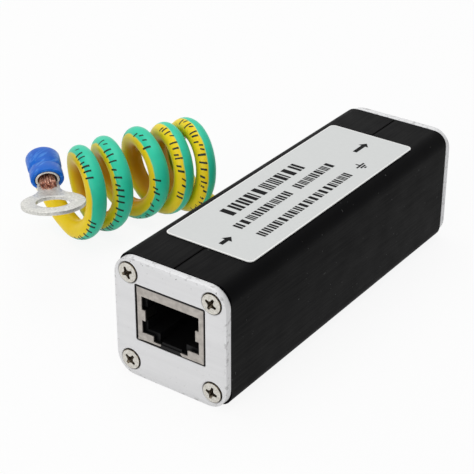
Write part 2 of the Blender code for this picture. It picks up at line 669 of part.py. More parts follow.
def make_coil(material, parts):
    """The wound turns as one thick ring on its side, clear of the wire that runs on from each end."""
    outer = COIL_RADIUS + LEAD_RADIUS
    inner = COIL_RADIUS - LEAD_RADIUS
    start = LEAD_RADIUS + FIT
    end = sum(COIL_STEPS) - LEAD_RADIUS - FIT
    profile = [(inner, end), (outer - LEAD_RADIUS, end), (outer, end - LEAD_RADIUS),
               (outer, start + LEAD_RADIUS), (outer - LEAD_RADIUS, start), (inner, start)]
    mesh = turned_mesh("earth_coil", profile, closed=True, steps=32)
    shade(mesh, 50.0)
    coil = add_object("earth_coil", mesh, material, parts)
    coil.location = (COIL_START.x, COIL_START.y, coil_height())
    coil.rotation_euler = (0.0, math.pi / 2, COIL_HEADING)


def make_lead(material, parts):
    """The wire from the grommet to the coil, and from the coil to the ring terminal."""
    low = LEAD_RADIUS + FILM_GAP
    exit_y = OVERALL_LENGTH / 2 + GROMMET_FLANGE + FIT
    tail = [(0.0, exit_y, LEAD_HEIGHT), (0.0, 0.0520, 0.0038), (-0.0022, 0.0608, 0.0028),
            (-0.0100, 0.0660, low), (-0.0178, 0.0608, low), (-0.0203, 0.0500, low),
            (-0.0208, 0.0370, low), (-0.0228, 0.0272, low), (-0.0270, 0.0212, low),
            (-0.0322, 0.0196, low), (-0.0377, 0.0219, low), (-0.0428, 0.0242, low)]
    add_object("earth_lead_tail", wire_mesh("earth_lead_tail", smooth_route(tail, TAIL_SPACING), LEAD_RADIUS),
               material, parts)
    heading = Matrix.Rotation(TERMINAL_TURN, 3, "Z") @ Vector((0.0, 1.0, 0.0))
    rear = TERMINAL_MOUTH + heading * (SLEEVE_LENGTH + FIT)
    end = [rear + heading * END_STRAIGHT, rear + Vector((-0.0027, 0.0024, -0.0021)), (-0.0651, -0.0056, 0.0139),
           (-0.0656, -0.0045, 0.0100), (-0.0635, -0.0042, 0.0062), (-0.0593, -0.0053, 0.0033),
           (-0.0551, -0.0064, low)]
    points = [rear] + smooth_route(end, END_SPACING)
    add_object("earth_lead_end", wire_mesh("earth_lead_end", points, LEAD_RADIUS), material, parts)


def flat_tube_mesh(name, sections):
    """A tube about Y with oval sections: outer stations from front to rear, then the bore back."""
    profile = [(radius, -y) for y, radius in sections]
    mesh = turned_mesh(name, profile, closed=True)
    mesh.transform(Matrix.Diagonal((1.0, SLEEVE_FLATNESS, 1.0, 1.0)))
    mesh.transform(Matrix.Rotation(math.pi / 2, 4, "X"))
    shade(mesh)
    return mesh


def make_sleeve(terminal, material, parts):
    """Blue insulation, nipped where the tool closed on it."""
    outer = SLEEVE_HALF_WIDTH
    bore = outer - SLEEVE_WALL
    nip = SLEEVE_NIP
    rim = SLEEVE_RIM
    middle = SLEEVE_LENGTH * SLEEVE_NIP_PLACE
    sections = [(0.0, bore), (0.0, outer - rim), (rim, outer), (middle - 2 * nip, outer),
                (middle, outer - nip), (middle + 3 * nip, outer), (SLEEVE_LENGTH - rim, outer + nip / 2),
                (SLEEVE_LENGTH, outer + nip / 2 - rim), (SLEEVE_LENGTH, bore)]
    add_object("terminal_sleeve", flat_tube_mesh("terminal_sleeve", sections), material, parts, terminal)


def make_core_end(terminal, material, parts):
    """The stripped strands in the barrel, as one bundle."""
    radius = barrel_radius() - BARREL_WALL - CRIMP_GAP
    rear = SLEEVE_LENGTH - FIT
    chamfer = STRAND_CHAMFER
    profile = [(0.0, 0.0), (radius - chamfer, 0.0), (radius, -chamfer), (radius, -rear), (0.0, -rear)]
    mesh = turned_mesh("stripped_core", profile, steps=16)
    mesh.transform(Matrix.Diagonal((1.0, SLEEVE_FLATNESS, 1.0, 1.0)))
    mesh.transform(Matrix.Rotation(math.pi / 2, 4, "X"))
    shade(mesh)
    core = add_object("stripped_core", mesh, material, parts, terminal)
    core.location = (0.0, FIT, 0.0)


def barrel_radius():
    """Outer half width of the metal barrel inside the sleeve."""
    return SLEEVE_HALF_WIDTH - SLEEVE_WALL - CRIMP_GAP


def ring_outline():
    """Ring and tongue in XY, the ring's centre at the origin and the tongue along +Y."""
    half = TONGUE_WIDTH / 2
    points = arc(0.0, 0.0, RING_RADIUS, 90 + RING_FLARE, 450 - RING_FLARE, 32)
    neck = RING_RADIUS + TONGUE_NECK
    return points + [(half, neck), (half, RING_TO_MOUTH - FIT), (-half, RING_TO_MOUTH - FIT), (-half, neck)]


def ring_plate_mesh():
    """The flat sheet, bent where the ring's slope meets the level cradle, in the barrel's frame."""
    plate = prism_mesh("ring_plate", [ring_outline(), circle(0.0, 0.0, RING_HOLE_RADIUS, 32)], RING_SHEET)
    bend = RING_TO_MOUTH - CRADLE_LENGTH
    bm = bmesh.new()
    bm.from_mesh(plate)
    geometry = bm.verts[:] + bm.edges[:] + bm.faces[:]
    bmesh.ops.bisect_plane(bm, geom=geometry, plane_co=(0.0, bend, 0.0), plane_no=(0.0, 1.0, 0.0))
    for vertex in bm.verts:
        if vertex.co.y < bend:
            vertex.co.z += (bend - vertex.co.y) * math.tan(RING_TILT)
    bm.to_mesh(plate)
    bm.free()
    drop = barrel_radius() * SLEEVE_FLATNESS - RING_SHEET / 2
    plate.transform(Matrix.Translation((0.0, -RING_TO_MOUTH, -drop)))
    return plate


def make_ring(terminal, material, parts, cutters):
    """Tinned sheet: the ring and its tongue slope down to a barrel that is rolled around the wire."""
    outer = barrel_radius()
    inner = outer - BARREL_WALL
    sections = [(-CRADLE_LENGTH, inner), (-CRADLE_LENGTH, outer), (BARREL_LENGTH, outer),
                (BARREL_LENGTH, inner)]
    ring = add_object("ring_terminal", flat_tube_mesh("ring_terminal", sections), material, parts, terminal)
    opening = box_mesh("cradle_opening", -2 * outer, 2 * outer, -2 * CRADLE_LENGTH, CRIMP_GAP,
                       -outer * SLEEVE_FLATNESS + RING_SHEET, 2 * outer)
    boolean(ring, add_cutter("cradle_opening", opening, cutters, terminal))
    boolean(ring, add_cutter("ring_plate", ring_plate_mesh(), cutters, terminal), "UNION")
    return ring


def make_terminal(materials, parts, cutters):
    terminal = bpy.data.objects.new("terminal_place", None)
    parts.objects.link(terminal)
    terminal.location = TERMINAL_MOUTH
    terminal.rotation_euler = (0.0, 0.0, TERMINAL_TURN)
    make_ring(terminal, materials["tin"], parts, cutters)
    make_sleeve(terminal, materials["sleeve"], parts)
    make_core_end(terminal, materials["copper"], parts)


def make_materials():
    return {
        "body": make_material("black_anodised", (0.012, 0.012, 0.013), 0.42, 0.3),
        "plate": make_material("brushed_silver", (0.78, 0.79, 0.80), 0.42, 0.6),
        "screw": make_material("nickel", (0.62, 0.58, 0.52), 0.28, 1.0),
        "shield": make_material("shield_steel", (0.50, 0.46, 0.42), 0.38, 0.9),
        "insert": make_material("black_moulding", (0.010, 0.010, 0.011), 0.5),
        "gold": make_material("gold", (0.85, 0.62, 0.25), 0.25, 1.0),
        "board": make_material("board_green", (0.02, 0.16, 0.07), 0.5),
        "ceramic": make_material("ceramic", (0.75, 0.73, 0.68), 0.45),
        "resistor": make_material("resistor_blue", (0.12, 0.30, 0.50), 0.5),
        "label": make_material("label_film", (0.74, 0.75, 0.75), 0.45),
        "rubber": make_material("rubber", (0.02, 0.02, 0.02), 0.7),
        "lead": make_material("lead_green", (0.03, 0.48, 0.30), 0.4),
        "copper": make_material("copper", (0.70, 0.34, 0.20), 0.35, 1.0),
        "tin": make_material("tinned", (0.72, 0.73, 0.74), 0.3, 1.0),
        "sleeve": make_material("sleeve_blue", (0.02, 0.14, 0.60), 0.4),
    }


def main():
    clear_scene()
    parts = new_collection("ethernet_surge_protector")
    cutters = new_collection("cutters")
    materials = make_materials()
    make_shell("left_shell", -1, True, materials["body"], parts, cutters)
    make_shell("right_shell", 1, False, materials["body"], parts, cutters)
    make_plate("front_plate", -1, materials["plate"], parts, cutters)
    make_plate("rear_plate", 1, materials["plate"], parts, cutters, lead_hole=True)
    screw = screw_mesh(cutters)
    make_screws("front", -1, screw, materials["screw"], parts)
    make_screws("rear", 1, screw, materials["screw"], parts)
    make_board(materials["board"], parts)
    make_socket("front", -1, materials, parts, cutters)
    make_socket("rear", 1, materials, parts, cutters)
    make_protection_parts(materials, parts)
    make_label(materials["label"], parts)
    make_grommet(materials["rubber"], parts)
    make_inner_lead(materials, parts)
    make_coil(materials["lead"], parts)
    make_lead(materials["lead"], parts)
    make_terminal(materials, parts, cutters)


main()
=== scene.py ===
"""Looks of the inline ethernet surge protector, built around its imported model.

Metres, in the model's frame: the box stands on z = 0, its IN plate faces -Y, its label is on top, and
the earth lead leaves the OUT plate at +Y, winds into a coil beside the box and ends in a ring terminal.
"""

import json
import math
import random

import bmesh
import bpy
from mathutils import Matrix, Vector


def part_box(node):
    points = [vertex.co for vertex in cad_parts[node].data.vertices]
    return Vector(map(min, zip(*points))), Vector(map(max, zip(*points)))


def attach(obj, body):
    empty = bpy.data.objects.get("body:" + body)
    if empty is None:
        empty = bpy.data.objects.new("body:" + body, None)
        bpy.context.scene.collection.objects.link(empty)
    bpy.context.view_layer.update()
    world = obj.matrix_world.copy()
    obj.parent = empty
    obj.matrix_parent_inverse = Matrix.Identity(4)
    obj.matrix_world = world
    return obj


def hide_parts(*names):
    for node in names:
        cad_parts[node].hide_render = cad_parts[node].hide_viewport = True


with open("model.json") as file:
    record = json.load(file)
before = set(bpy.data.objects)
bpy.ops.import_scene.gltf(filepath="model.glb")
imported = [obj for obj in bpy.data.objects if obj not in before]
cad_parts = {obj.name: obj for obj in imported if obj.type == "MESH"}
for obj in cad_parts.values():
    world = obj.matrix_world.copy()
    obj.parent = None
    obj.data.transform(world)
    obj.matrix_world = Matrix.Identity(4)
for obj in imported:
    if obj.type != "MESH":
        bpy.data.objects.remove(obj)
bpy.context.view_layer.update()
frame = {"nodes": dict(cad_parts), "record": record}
nodes = frame["nodes"]

# Camera, fitted to the photograph's edges
CAMERA_PLACE = (0.1434, -0.2223, 0.1615)
CAMERA_TURN = (60.89, -0.08, 35.43)
CAMERA_LENS = 111.1
CAMERA_SENSOR = 36.0

# Studio: each lamp's place, target, size and power
OVERHEAD_LAMP = ((-0.15, 0.10, 0.75), (-0.02, 0.0, 0.0), (0.7, 0.7), 3.0)
FRONT_LAMP = ((-0.05, -0.75, 0.35), (0.0, 0.0, 0.01), (0.6, 0.5), 2.0)
WORLD_LIGHT = 0.45          # on the object, while the camera finds 1, which is white
FLOOR_HALF = 3.0
FLOOR_DROP = 0.0002
FLOOR_GREY = 0.86
FLOOR_GLOW = 0.90           # share of white in what the camera finds on the floor

ENDS = (("front", -1.0), ("rear", 1.0))

# Housing, as in the model
BODY_HALF = 0.0130
BODY_CORNER = 0.0030
JOINT_SHADE = (0.00028, 0.00044)    # from the joint's middle, where its painted shade line fades
PLATE_CORNER = 0.0042
PLATE_FACE = 0.0420

# Shield: its front edge is folded, and drawn forward towards the plate's face
SHIELD_FORWARD = 0.00025
SHIELD_BEND = 0.00038
SHIELD_ROUNDING = 0.00008
SHIELD_SHADE_DEPTH = (0.00015, 0.00032)    # behind the plate's face, where painted shade darkens its steel
SHIELD_BEND_SHADE = (0.00016, 0.00030)     # inside its sides and top, where painted shade darkens its bend
FACE_REACH = 0.00005                # of points that count as on its face
OUTLINE_REACH = 0.00003             # and of edges on its outline

# Moulding's lip in the latch slot
LIP_HALF = 0.0023
LIP_HEIGHT = 0.0006
LIP_STEP = 0.0004           # depth at which it rises
LIP_RISE = 0.0004
LIP_DEPTH = 0.0009
LIP_ROUNDING = 0.0001
LIP_BEHIND = 0.00005        # the shield's face
LIP_LIFT = 0.00002

# Screws
SCREW_HEAD = 0.0021
SCREW_SHANK = 0.0012
SCREW_LENGTH = 0.0080
SCREW_POINT = 0.0007
SCREW_CROWN = 0.00020
SCREW_PROUD = 0.00036       # of the plate's face, at the crown's middle
SCREW_RIM = 0.00030         # height of the head's edge
SCREW_ROUNDING = 0.00008    # from the crown's edge to the head's
SCREW_EDGE = (0.00003, 0.00002)     # the rounding's middle: below the crown's edge, inside the head's
SCREW_EDGE_SHADE = 0.00006        # painted shade, from the head's edge inward
SCREW_SIDES = 48
RECESS_REACH = 0.00135
RECESS_WIDTH = 0.00074
RECESS_FILLET = 0.00024     # between the arms of the cross
RECESS_DEPTH = 0.00115
RECESS_ARM_END = 0.7        # width of an arm's end, over its root
RECESS_LEVELS = ((-0.0003, 1.06), (0.0, 1.0), (RECESS_DEPTH, 0.45))     # depth, scale of the cross
FRONT_SCREW_TURNS = (38.0, 12.0, 64.0, 27.0)
REAR_SCREW_TURNS = (21.0, 49.0, 5.0, 73.0)

# Label
LABEL_CORNER = 0.0012
# The rim and its fade: how far the painted highlight reaches in from the film's cut edge
LABEL_RIM = 0.00020
LABEL_HIGHLIGHT_FADE = 0.00004
LABEL_ROUNDING = 0.00005
LABEL_STEPS = 8             # round each corner

# Print, in millimetres of the label's plane: X across, Y along the box
PRINT_LIFT = 0.00002        # in metres
PRINT_SEED = 23
PRINT_ROWS = ((-6.10, -2.75, -18.1, 8.7, 10), (-0.50, 1.75, -21.3, -2.7, 9),
              (-0.50, 1.75, -0.6, 13.1, 7), (4.90, 7.10, -21.2, 11.2, 18))     # top, foot, start, end, cells
# The bars of one cell, each with its start and width over the cell's pitch
PRINT_CELLS = (((0.0, 0.30), (0.43, 0.31)), ((0.0, 0.30), (0.43, 0.31)), ((0.08, 0.52),),
               ((0.0, 0.19), (0.29, 0.19), (0.58, 0.19)), ((0.0, 0.42), (0.55, 0.19)))
PRINT_ARROWS = ((0.65, 3.10, -28.4, -24.9), (0.40, 2.80, 20.4, 25.4))       # top, foot, start, end
ARROW_HEAD = 0.62           # length over the arrow's height
ARROW_SHAFT = 0.20          # half width over the arrow's height
PRINT_EARTH = (4.9, 7.3, 14.0, 16.9)
EARTH_LINE = 0.17           # of the sign's height
EARTH_BARS = ((2.2, 1.0), (3.8, 0.64), (5.25, 0.26))    # level in lines, share of the width

# Earth lead
LEAD_RADIUS = 0.0023
LEAD_LOW = 0.0024
LEAD_SIDES = 32
COIL_RADIUS = 0.00831
COIL_HEADING = math.radians(67.2)
COIL_START = Vector((-0.05510, -0.00638, 0.0))
COIL_STEPS = (0.00618, 0.00823, 0.00744, 0.00614, 0.00494)
COIL_POINTS = 24            # to the turn, on the path
FINE_STEPS = 5              # of the skin between two points of the path
# How far the wire strays from a true helix at each quarter turn, along its axis and sideways, in mm
COIL_STRAY = ((-0.37, 0.62), (-0.05, 0.44), (-0.23, 1.07), (0.82, 0.42), (0.03, -0.05), (0.24, -0.12),
              (-0.66, -0.34), (-0.16, -0.96), (0.82, -1.37), (1.78, -1.10), (0.31, -1.20), (-0.35, -0.40),
              (0.03, -0.05), (0.35, 0.00), (-0.02, 0.04), (-0.35, 0.60), (-0.93, 1.57), (-0.13, 0.90),
              (0.12, 0.57), (-0.75, 0.30), (-1.10, 1.20))
LEAD_EXIT = (0.0, 0.0423, 0.0041)
TAIL = ((0.0, 0.0434, 0.0041), (0.0, 0.0520, 0.0038), (-0.0022, 0.0608, 0.0028),
        (-0.0100, 0.0660, LEAD_LOW), (-0.0178, 0.0608, LEAD_LOW), (-0.0203, 0.0500, LEAD_LOW),
        (-0.0208, 0.0370, LEAD_LOW), (-0.0228, 0.0272, LEAD_LOW), (-0.0270, 0.0212, LEAD_LOW),
        (-0.0320, 0.0192, LEAD_LOW), (-0.0375, 0.0203, LEAD_LOW))
RISE = ((-0.0593, -0.0053, 0.0033), (-0.0635, -0.0042, 0.0062), (-0.0656, -0.0045, 0.0100),
        (-0.0651, -0.0056, 0.0138), (-0.0634, -0.0071, 0.0167))
MOUTH = ((0.0013, -0.0005), (-0.0005, -0.0002), (-0.0022, 0.0))     # from the sleeve's rear, height
TAIL_SPACING = 0.004
RISE_SPACING = 0.003
# Turn of the coil, and degrees from outward to the stripe's edge
STRIPE_EDGES = ((0.0, 48.0), (0.75, 62.0), (1.2, 54.0), (1.75, 66.0), (2.3, 52.0), (2.75, 70.0), (3.2, 20.0),
                (3.5, 20.0), (3.8, 58.0), (4.2, 15.0), (4.55, 14.0), (4.8, 46.0), (5.0, 40.0))
INNER_SHADE = ((0.0, 0.0), (0.45, 1.0), (4.8, 1.0), (5.0, 0.0))     # turn, strength of the painted shade on the coil's inner side
MARK_SEED = 11
MARK_ANGLE = 42.0           # of the print's middle, from outward towards the coil's near end
MARK_SHAPES = ((24.0, 0.0), (24.0, 0.0), (15.0, 9.0), (11.0, -13.0), (19.0, 0.0))    # half width, shift
MARK_WIDTHS = (0.00030, 0.00044)
MARK_SLANTS = (0.0003, 0.0006)
MARK_GAPS = (0.00045, 0.00130)
MARK_STEPS = 6
MARK_GROUPS = ((0.02, 0.21), (0.37, 0.53), (0.62, 0.92), (1.03, 1.52), (1.64, 1.96), (2.04, 2.30),
               (2.41, 2.52), (2.60, 2.95), (3.20, 3.53), (3.62, 3.97), (4.10, 4.55), (4.63, 4.95))

# Ring terminal, in its own frame: the sleeve's mouth at the origin, the wire along +Y
TERMINAL_PLACE = Matrix.Translation((-0.0526, -0.0168, 0.0190)) @ Matrix.Rotation(math.radians(48.0), 4, "Z")
TURNED_SIDES = 64
RING_TILT = math.radians(9.5)
RING_RADIUS = 0.0068
RING_HOLE_RADIUS = 0.00365
RING_SHEET = 0.0009
RING_ROUNDING = 0.00012
RING_FLARE = math.radians(34.0)     # half the angle that the tongue takes of the ring
RING_TO_MOUTH = 0.0116
CRADLE_LENGTH = 0.0016
SLEEVE_LENGTH = 0.0106
SLEEVE_HALF_WIDTH = 0.00365
NECK_HALF_WIDTH = 0.66 * SLEEVE_HALF_WIDTH
NECK_BEND = Vector((NECK_HALF_WIDTH - 0.0002, RING_RADIUS + 0.0008))    # which the flare's curve leans to
NECK_OVERLAP = 0.0004       # of the tongue and the barrel
SLEEVE_FLATNESS = 0.72
SLEEVE_REAR_FLATNESS = 0.80
SLEEVE_GROOVE = 0.0046      # from the mouth to the tool's groove
SLEEVE_FADE = 0.0030        # from there to the rounder rear part
SLEEVE_WALL = 0.0009
# From the mouth, and how far the outside stands proud of the half width
SLEEVE_OUTSIDE = ((0.0, -0.00035), (0.0001, -0.00014), (0.00035, -0.00002), (0.0022, 0.0),
                  (0.0034, -0.00002), (0.0040, -0.00012), (0.0044, -0.00030), (0.0047, -0.00034),
                  (0.0050, -0.00024), (0.0054, -0.00002), (0.0062, 0.00008), (0.0092, 0.00014),
                  (0.0103, 0.00015), (0.01052, 0.00005), (SLEEVE_LENGTH, -0.00012))
# From the mouth, and how far the bore widens
SLEEVE_INSIDE = ((SLEEVE_LENGTH, 0.0004), (0.0103, 0.0003), (0.0084, 0.0001), (0.0063, 0.0),
                 (0.0003, 0.0), (0.0, 0.00008))
BARREL_WALL = 0.0005
BARREL_LENGTH = 0.0060
BARREL_ROUNDING = (0.00006, 0.0001)
CRIMP_GAP = 0.00015
STRAND_RADIUS = 0.00024
STRAND_SIDES = 10
STRAND_SEED = 5
STRAND_RINGS = ((0.30, 6), (0.58, 11), (0.86, 17))      # share of the bore, strands
STRAND_REACHES = (0.0008, 0.0026)
STRAND_SAG = (0.74, 0.55)   # share of a strand's height that is left at the mouth and at its end
STRAND_SPREADS = (0.92, 1.10)

WELD = 0.000001
BUMP_DISTANCE = 0.0001


def srgb(red, green, blue):
    """A colour of 0 to 255, as linear light."""
    def linear(value):
        share = value / 255
        return share / 12.92 if share <= 0.04045 else ((share + 0.055) / 1.055) ** 2.4
    return (linear(red), linear(green), linear(blue), 1.0)


class Finish:
    """A node material, built socket by socket."""

    def __init__(self, name):
        self.material = bpy.data.materials.new(name)
        self.material.use_nodes = True
        self.tree = self.material.node_tree
        self.shader = self.tree.nodes["Principled BSDF"]

    def node(self, kind, sockets=None, **properties):
        made = self.tree.nodes.new(kind)
        for key, value in properties.items():
            setattr(made, key, value)
        for key, value in (sockets or {}).items():
            self.feed(made.inputs[key], value)
        return made

    def feed(self, socket, value):
        if isinstance(value, bpy.types.NodeSocket):
            self.tree.links.new(value, socket)
        else:
            socket.default_value = value

    def set(self, **sockets):
        for key, value in sockets.items():
            self.feed(self.shader.inputs[key.replace("_", " ")], value)

    def place(self):
        return self.node("ShaderNodeTexCoord").outputs["Object"]

    def axis(self, letter):
        return self.node("ShaderNodeSeparateXYZ", {"Vector": self.place()}).outputs[letter]

    def attribute(self, name):
        return self.node("ShaderNodeAttribute", attribute_name=name).outputs["Fac"]

    def noise(self, scale, detail, stretch=(1.0, 1.0, 1.0)):
        place = self.node("ShaderNodeMapping", {"Vector": self.place(), "Scale": stretch}).outputs["Vector"]
        made = self.node("ShaderNodeTexNoise", {"Vector": place, "Scale": scale, "Detail": detail})
        return made.outputs["Fac"]

    def ramp(self, value, low, high, bottom=0.0, top=1.0):
        made = self.node("ShaderNodeMapRange", {"Value": value, "From Min": low, "From Max": high,
                                                "To Min": bottom, "To Max": top})
        return made.outputs["Result"]

    def spread(self, noise, bottom, top):
        """The noise's middle values, spread over a range."""
        return self.ramp(noise, 0.3, 0.7, bottom, top)

    def math(self, operation, first, second=0.0):
        return self.node("ShaderNodeMath", {0: first, 1: second}, operation=operation).outputs[0]

    def corner(self, radius):
        """How far a point lies past the start of the section's rounded corner, across and upward."""
        across = self.math("ABSOLUTE", self.axis("X"))
        upward = self.math("ABSOLUTE", self.math("SUBTRACT", self.axis("Z"), BODY_HALF))
        return [self.math("SUBTRACT", side, BODY_HALF - radius) for side in (across, upward)]

    def depth(self):
        """How far a point lies behind the face of the nearer end plate."""
        return self.math("SUBTRACT", PLATE_FACE, self.math("ABSOLUTE", self.axis("Y")))

    def outline_distance(self, radius):
        """Distance from the section's rounded outline, negative inside."""
        sides = self.corner(radius)
        squares = [self.math("POWER", self.math("MAXIMUM", side, 0.0), 2.0) for side in sides]
        outside = self.math("SQRT", self.math("ADD", *squares))
        inside = self.math("MINIMUM", self.math("MAXIMUM", *sides), 0.0)
        return self.math("SUBTRACT", self.math("ADD", outside, inside), radius)

    def mix(self, share, first, second):
        return self.node("ShaderNodeMix", {0: share, 6: first, 7: second}, data_type="RGBA").outputs[2]

    def bump(self, height, strength):
        made = self.node("ShaderNodeBump", {"Height": height, "Strength": strength,
                                            "Distance": BUMP_DISTANCE})
        self.feed(self.shader.inputs["Normal"], made.outputs["Normal"])


def body_finish():
    """Satin black anodised aluminium, drawn along its length, with painted shade at its long rounded edges
    and in its joint.
    """
    finish = Finish("body_black")
    grain = finish.noise(9000.0, 2.0)
    patches = finish.noise(160.0, 4.0)
    streaks = finish.noise(2600.0, 3.0, (1.0, 0.035, 1.0))
    dust = finish.ramp(finish.noise(1500.0, 1.0), 0.77, 0.80)
    # Painted shade: the long rounded edges darken to near black in the base colour.
    edge = finish.ramp(finish.math("MINIMUM", *finish.corner(BODY_CORNER)), -0.0009, 0.0005)
    # Painted shade: a black line along the joint, wider than its gap.
    joint = finish.ramp(finish.math("ABSOLUTE", finish.axis("X")), *JOINT_SHADE, 1.0, 0.0)
    tone = finish.mix(finish.ramp(streaks, 0.35, 0.65), srgb(10, 10, 11), srgb(22, 22, 22))
    tone = finish.mix(edge, tone, srgb(5, 5, 6))
    tone = finish.mix(dust, tone, srgb(70, 70, 70))
    finish.set(Base_Color=finish.mix(joint, tone, srgb(0, 0, 0)),
               Roughness=finish.spread(patches, 0.46, 0.56), Specular_IOR_Level=0.03)
    finish.bump(finish.math("ADD", grain, finish.math("MULTIPLY", streaks, 0.6)), 0.14)
    return finish.material


def plate_finish():
    """Pale brushed plate, its rim worn in small spots, with a few specks near its upper edge, and painted
    shade on its surfaces behind the face, away from its rim.
    """
    finish = Finish("plate_silver")
    brushed = finish.noise(700.0, 3.0, (0.06, 1.0, 1.0))
    near_top = finish.ramp(finish.axis("Z"), 0.0236, 0.0246, 0.10, 0.8)
    specks = finish.math("MULTIPLY", finish.ramp(finish.noise(1700.0, 1.0), 0.71, 0.76), near_top)
    outline = finish.outline_distance(PLATE_CORNER)
    rim = finish.ramp(outline, -0.0007, -0.0002)
    worn = finish.math("MULTIPLY", rim, finish.ramp(finish.noise(900.0, 4.0), 0.56, 0.66, 0.0, 0.45))
    tone = finish.mix(finish.spread(brushed, 0.0, 1.0), srgb(219, 219, 220), srgb(225, 225, 226))
    tone = finish.mix(worn, tone, srgb(128, 127, 126))
    tone = finish.mix(specks, tone, srgb(104, 102, 100))
    # Painted shade: surfaces behind the plate's face, such as the walls of its opening, darken away from its
    # rim.
    opening = finish.ramp(outline, -0.0009, -0.0007, 1.0, 0.0)
    painted_shade = finish.math("MULTIPLY", finish.ramp(finish.depth(), 0.00006, 0.00022), opening)
    finish.set(Base_Color=finish.mix(painted_shade, tone, srgb(26, 25, 24)), Metallic=0.15,
               Roughness=finish.spread(finish.noise(220.0, 3.0), 0.45, 0.58))
    finish.bump(brushed, 0.04)
    return finish.material


def screw_finish():
    """Warm nickel, dull and darkened by painted shade down in the recess and round the rim."""
    finish = Finish("screw_nickel")
    grain = finish.noise(2600.0, 3.0)
    bright = finish.mix(finish.ramp(grain, 0.35, 0.7), srgb(220, 217, 209), srgb(188, 184, 174))
    dark = finish.mix(finish.ramp(grain, 0.45, 0.62), srgb(44, 36, 28), srgb(138, 126, 106))
    # Painted shade: the recess attribute turns the nickel dark brown in the recess and round the head's
    # edge.
    finish.set(Base_Color=finish.mix(finish.attribute("recess"), bright, dark), Metallic=0.6,
               Roughness=finish.spread(grain, 0.28, 0.42))
    finish.bump(grain, 0.1)
    return finish.material


def shield_finish():
    """Dull tinned steel with fine specks, with painted shade behind its face and where its bend meets the
    plate.
    """
    finish = Finish("shield_steel")
    grain = finish.noise(900.0, 4.0)
    specks = finish.ramp(finish.noise(4200.0, 2.0), 0.58, 0.72, 0.0, 0.35)
    low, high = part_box("front_shield")
    off_middle = finish.math("ABSOLUTE", finish.math("SUBTRACT", finish.axis("X"), (low[0] + high[0]) / 2))
    from_side = finish.math("SUBTRACT", (high[0] - low[0]) / 2, off_middle)
    from_top = finish.math("SUBTRACT", high[2], finish.axis("Z"))
    # Painted shade: the steel behind the plate's face and along its bend darkens to near black.
    rim = finish.ramp(finish.math("MINIMUM", from_side, from_top), *SHIELD_BEND_SHADE, 1.0, 0.0)
    dark = finish.math("MAXIMUM", finish.ramp(finish.depth(), *SHIELD_SHADE_DEPTH), rim)
    tone = finish.mix(finish.ramp(grain, 0.35, 0.65), srgb(162, 156, 150), srgb(186, 180, 173))
    tone = finish.mix(specks, tone, srgb(140, 132, 124))
    finish.set(Base_Color=finish.mix(dark, tone, srgb(20, 19, 18)), Metallic=0.35,
               Roughness=finish.spread(grain, 0.42, 0.55))
    finish.bump(grain, 0.08)
    return finish.material


def label_finish():
    """Pale grey film, with a painted highlight near white along its cut edge."""
    finish = Finish("label_film")
    grain = finish.noise(1500.0, 3.0)
    film = finish.mix(grain, srgb(209, 211, 210), srgb(215, 217, 216))
    # Painted highlight: the rim attribute turns the film near white along its cut edge.
    finish.set(Base_Color=finish.mix(finish.attribute("rim"), film, srgb(246, 246, 244)),
               Roughness=finish.spread(grain, 0.42, 0.5), Specular_IOR_Level=0.3)
    finish.bump(grain, 0.03)
    return finish.material


def plain_metal(name, light, dark, metallic, roughness, scale=900.0, bump=0.08):
    finish = Finish(name)
    grain = finish.noise(scale, 4.0)
    finish.set(Base_Color=finish.mix(finish.ramp(grain, 0.35, 0.65), dark, light), Metallic=metallic,
               Roughness=finish.spread(grain, roughness - 0.06, roughness + 0.08))
    finish.bump(grain, bump)
    return finish.material


def plain_plastic(name, colour, roughness, bump=0.1, specular=0.5):
    finish = Finish(name)
    grain = finish.noise(3000.0, 3.0)
    darker = tuple(0.82 * c for c in colour[:3]) + (1.0,)
    finish.set(Base_Color=finish.mix(finish.spread(grain, 0.0, 1.0), darker, colour),
               Roughness=finish.spread(grain, roughness - 0.05, roughness + 0.05),
               Specular_IOR_Level=specular)
    finish.bump(grain, bump)
    return finish.material


def lead_finish():
    """Green and yellow insulation: the stripe attribute is positive on the yellow side, and the inner
    attribute paints shade in ochre on the coil's inner side.
    """
    finish = Finish("insulation_green_yellow")
    waver = finish.spread(finish.noise(260.0, 2.0), -0.05, 0.05)
    edge = finish.ramp(finish.math("ADD", finish.attribute("stripe"), waver), -0.07, 0.07)
    patches = finish.noise(420.0, 3.0)
    green = finish.mix(patches, srgb(36, 196, 158), srgb(54, 214, 176))
    yellow = finish.mix(patches, srgb(244, 208, 10), srgb(250, 222, 34))
    # Painted shade: the yellow turns ochre on the coil's inner side.
    yellow = finish.mix(finish.ramp(finish.attribute("inner"), 0.25, 0.95), yellow, srgb(206, 146, 8))
    finish.set(Base_Color=finish.mix(edge, green, yellow), Roughness=0.38, Specular_IOR_Level=0.25)
    finish.bump(finish.noise(1300.0, 2.0), 0.08)
    return finish.material


def sleeve_finish():
    """Blue crimp insulation, a little translucent, with painted highlight streaks along its length."""
    finish = Finish("sleeve_blue")
    drawn = finish.noise(1500.0, 3.0, (1.0, 0.12, 1.0))
    tone = finish.mix(finish.noise(300.0, 3.0), srgb(0, 80, 186), srgb(14, 112, 212))
    # Painted highlight: pale streaks along the drawn marks.
    tone = finish.mix(finish.ramp(drawn, 0.52, 0.70, 0.0, 0.55), tone, srgb(92, 160, 234))
    finish.set(Base_Color=tone, Roughness=0.34, Specular_IOR_Level=0.2, Subsurface_Weight=0.08,
               Subsurface_Scale=0.0010)
    finish.bump(finish.math("ADD", finish.noise(800.0, 2.0), finish.math("MULTIPLY", drawn, 0.5)), 0.14)
    return finish.material


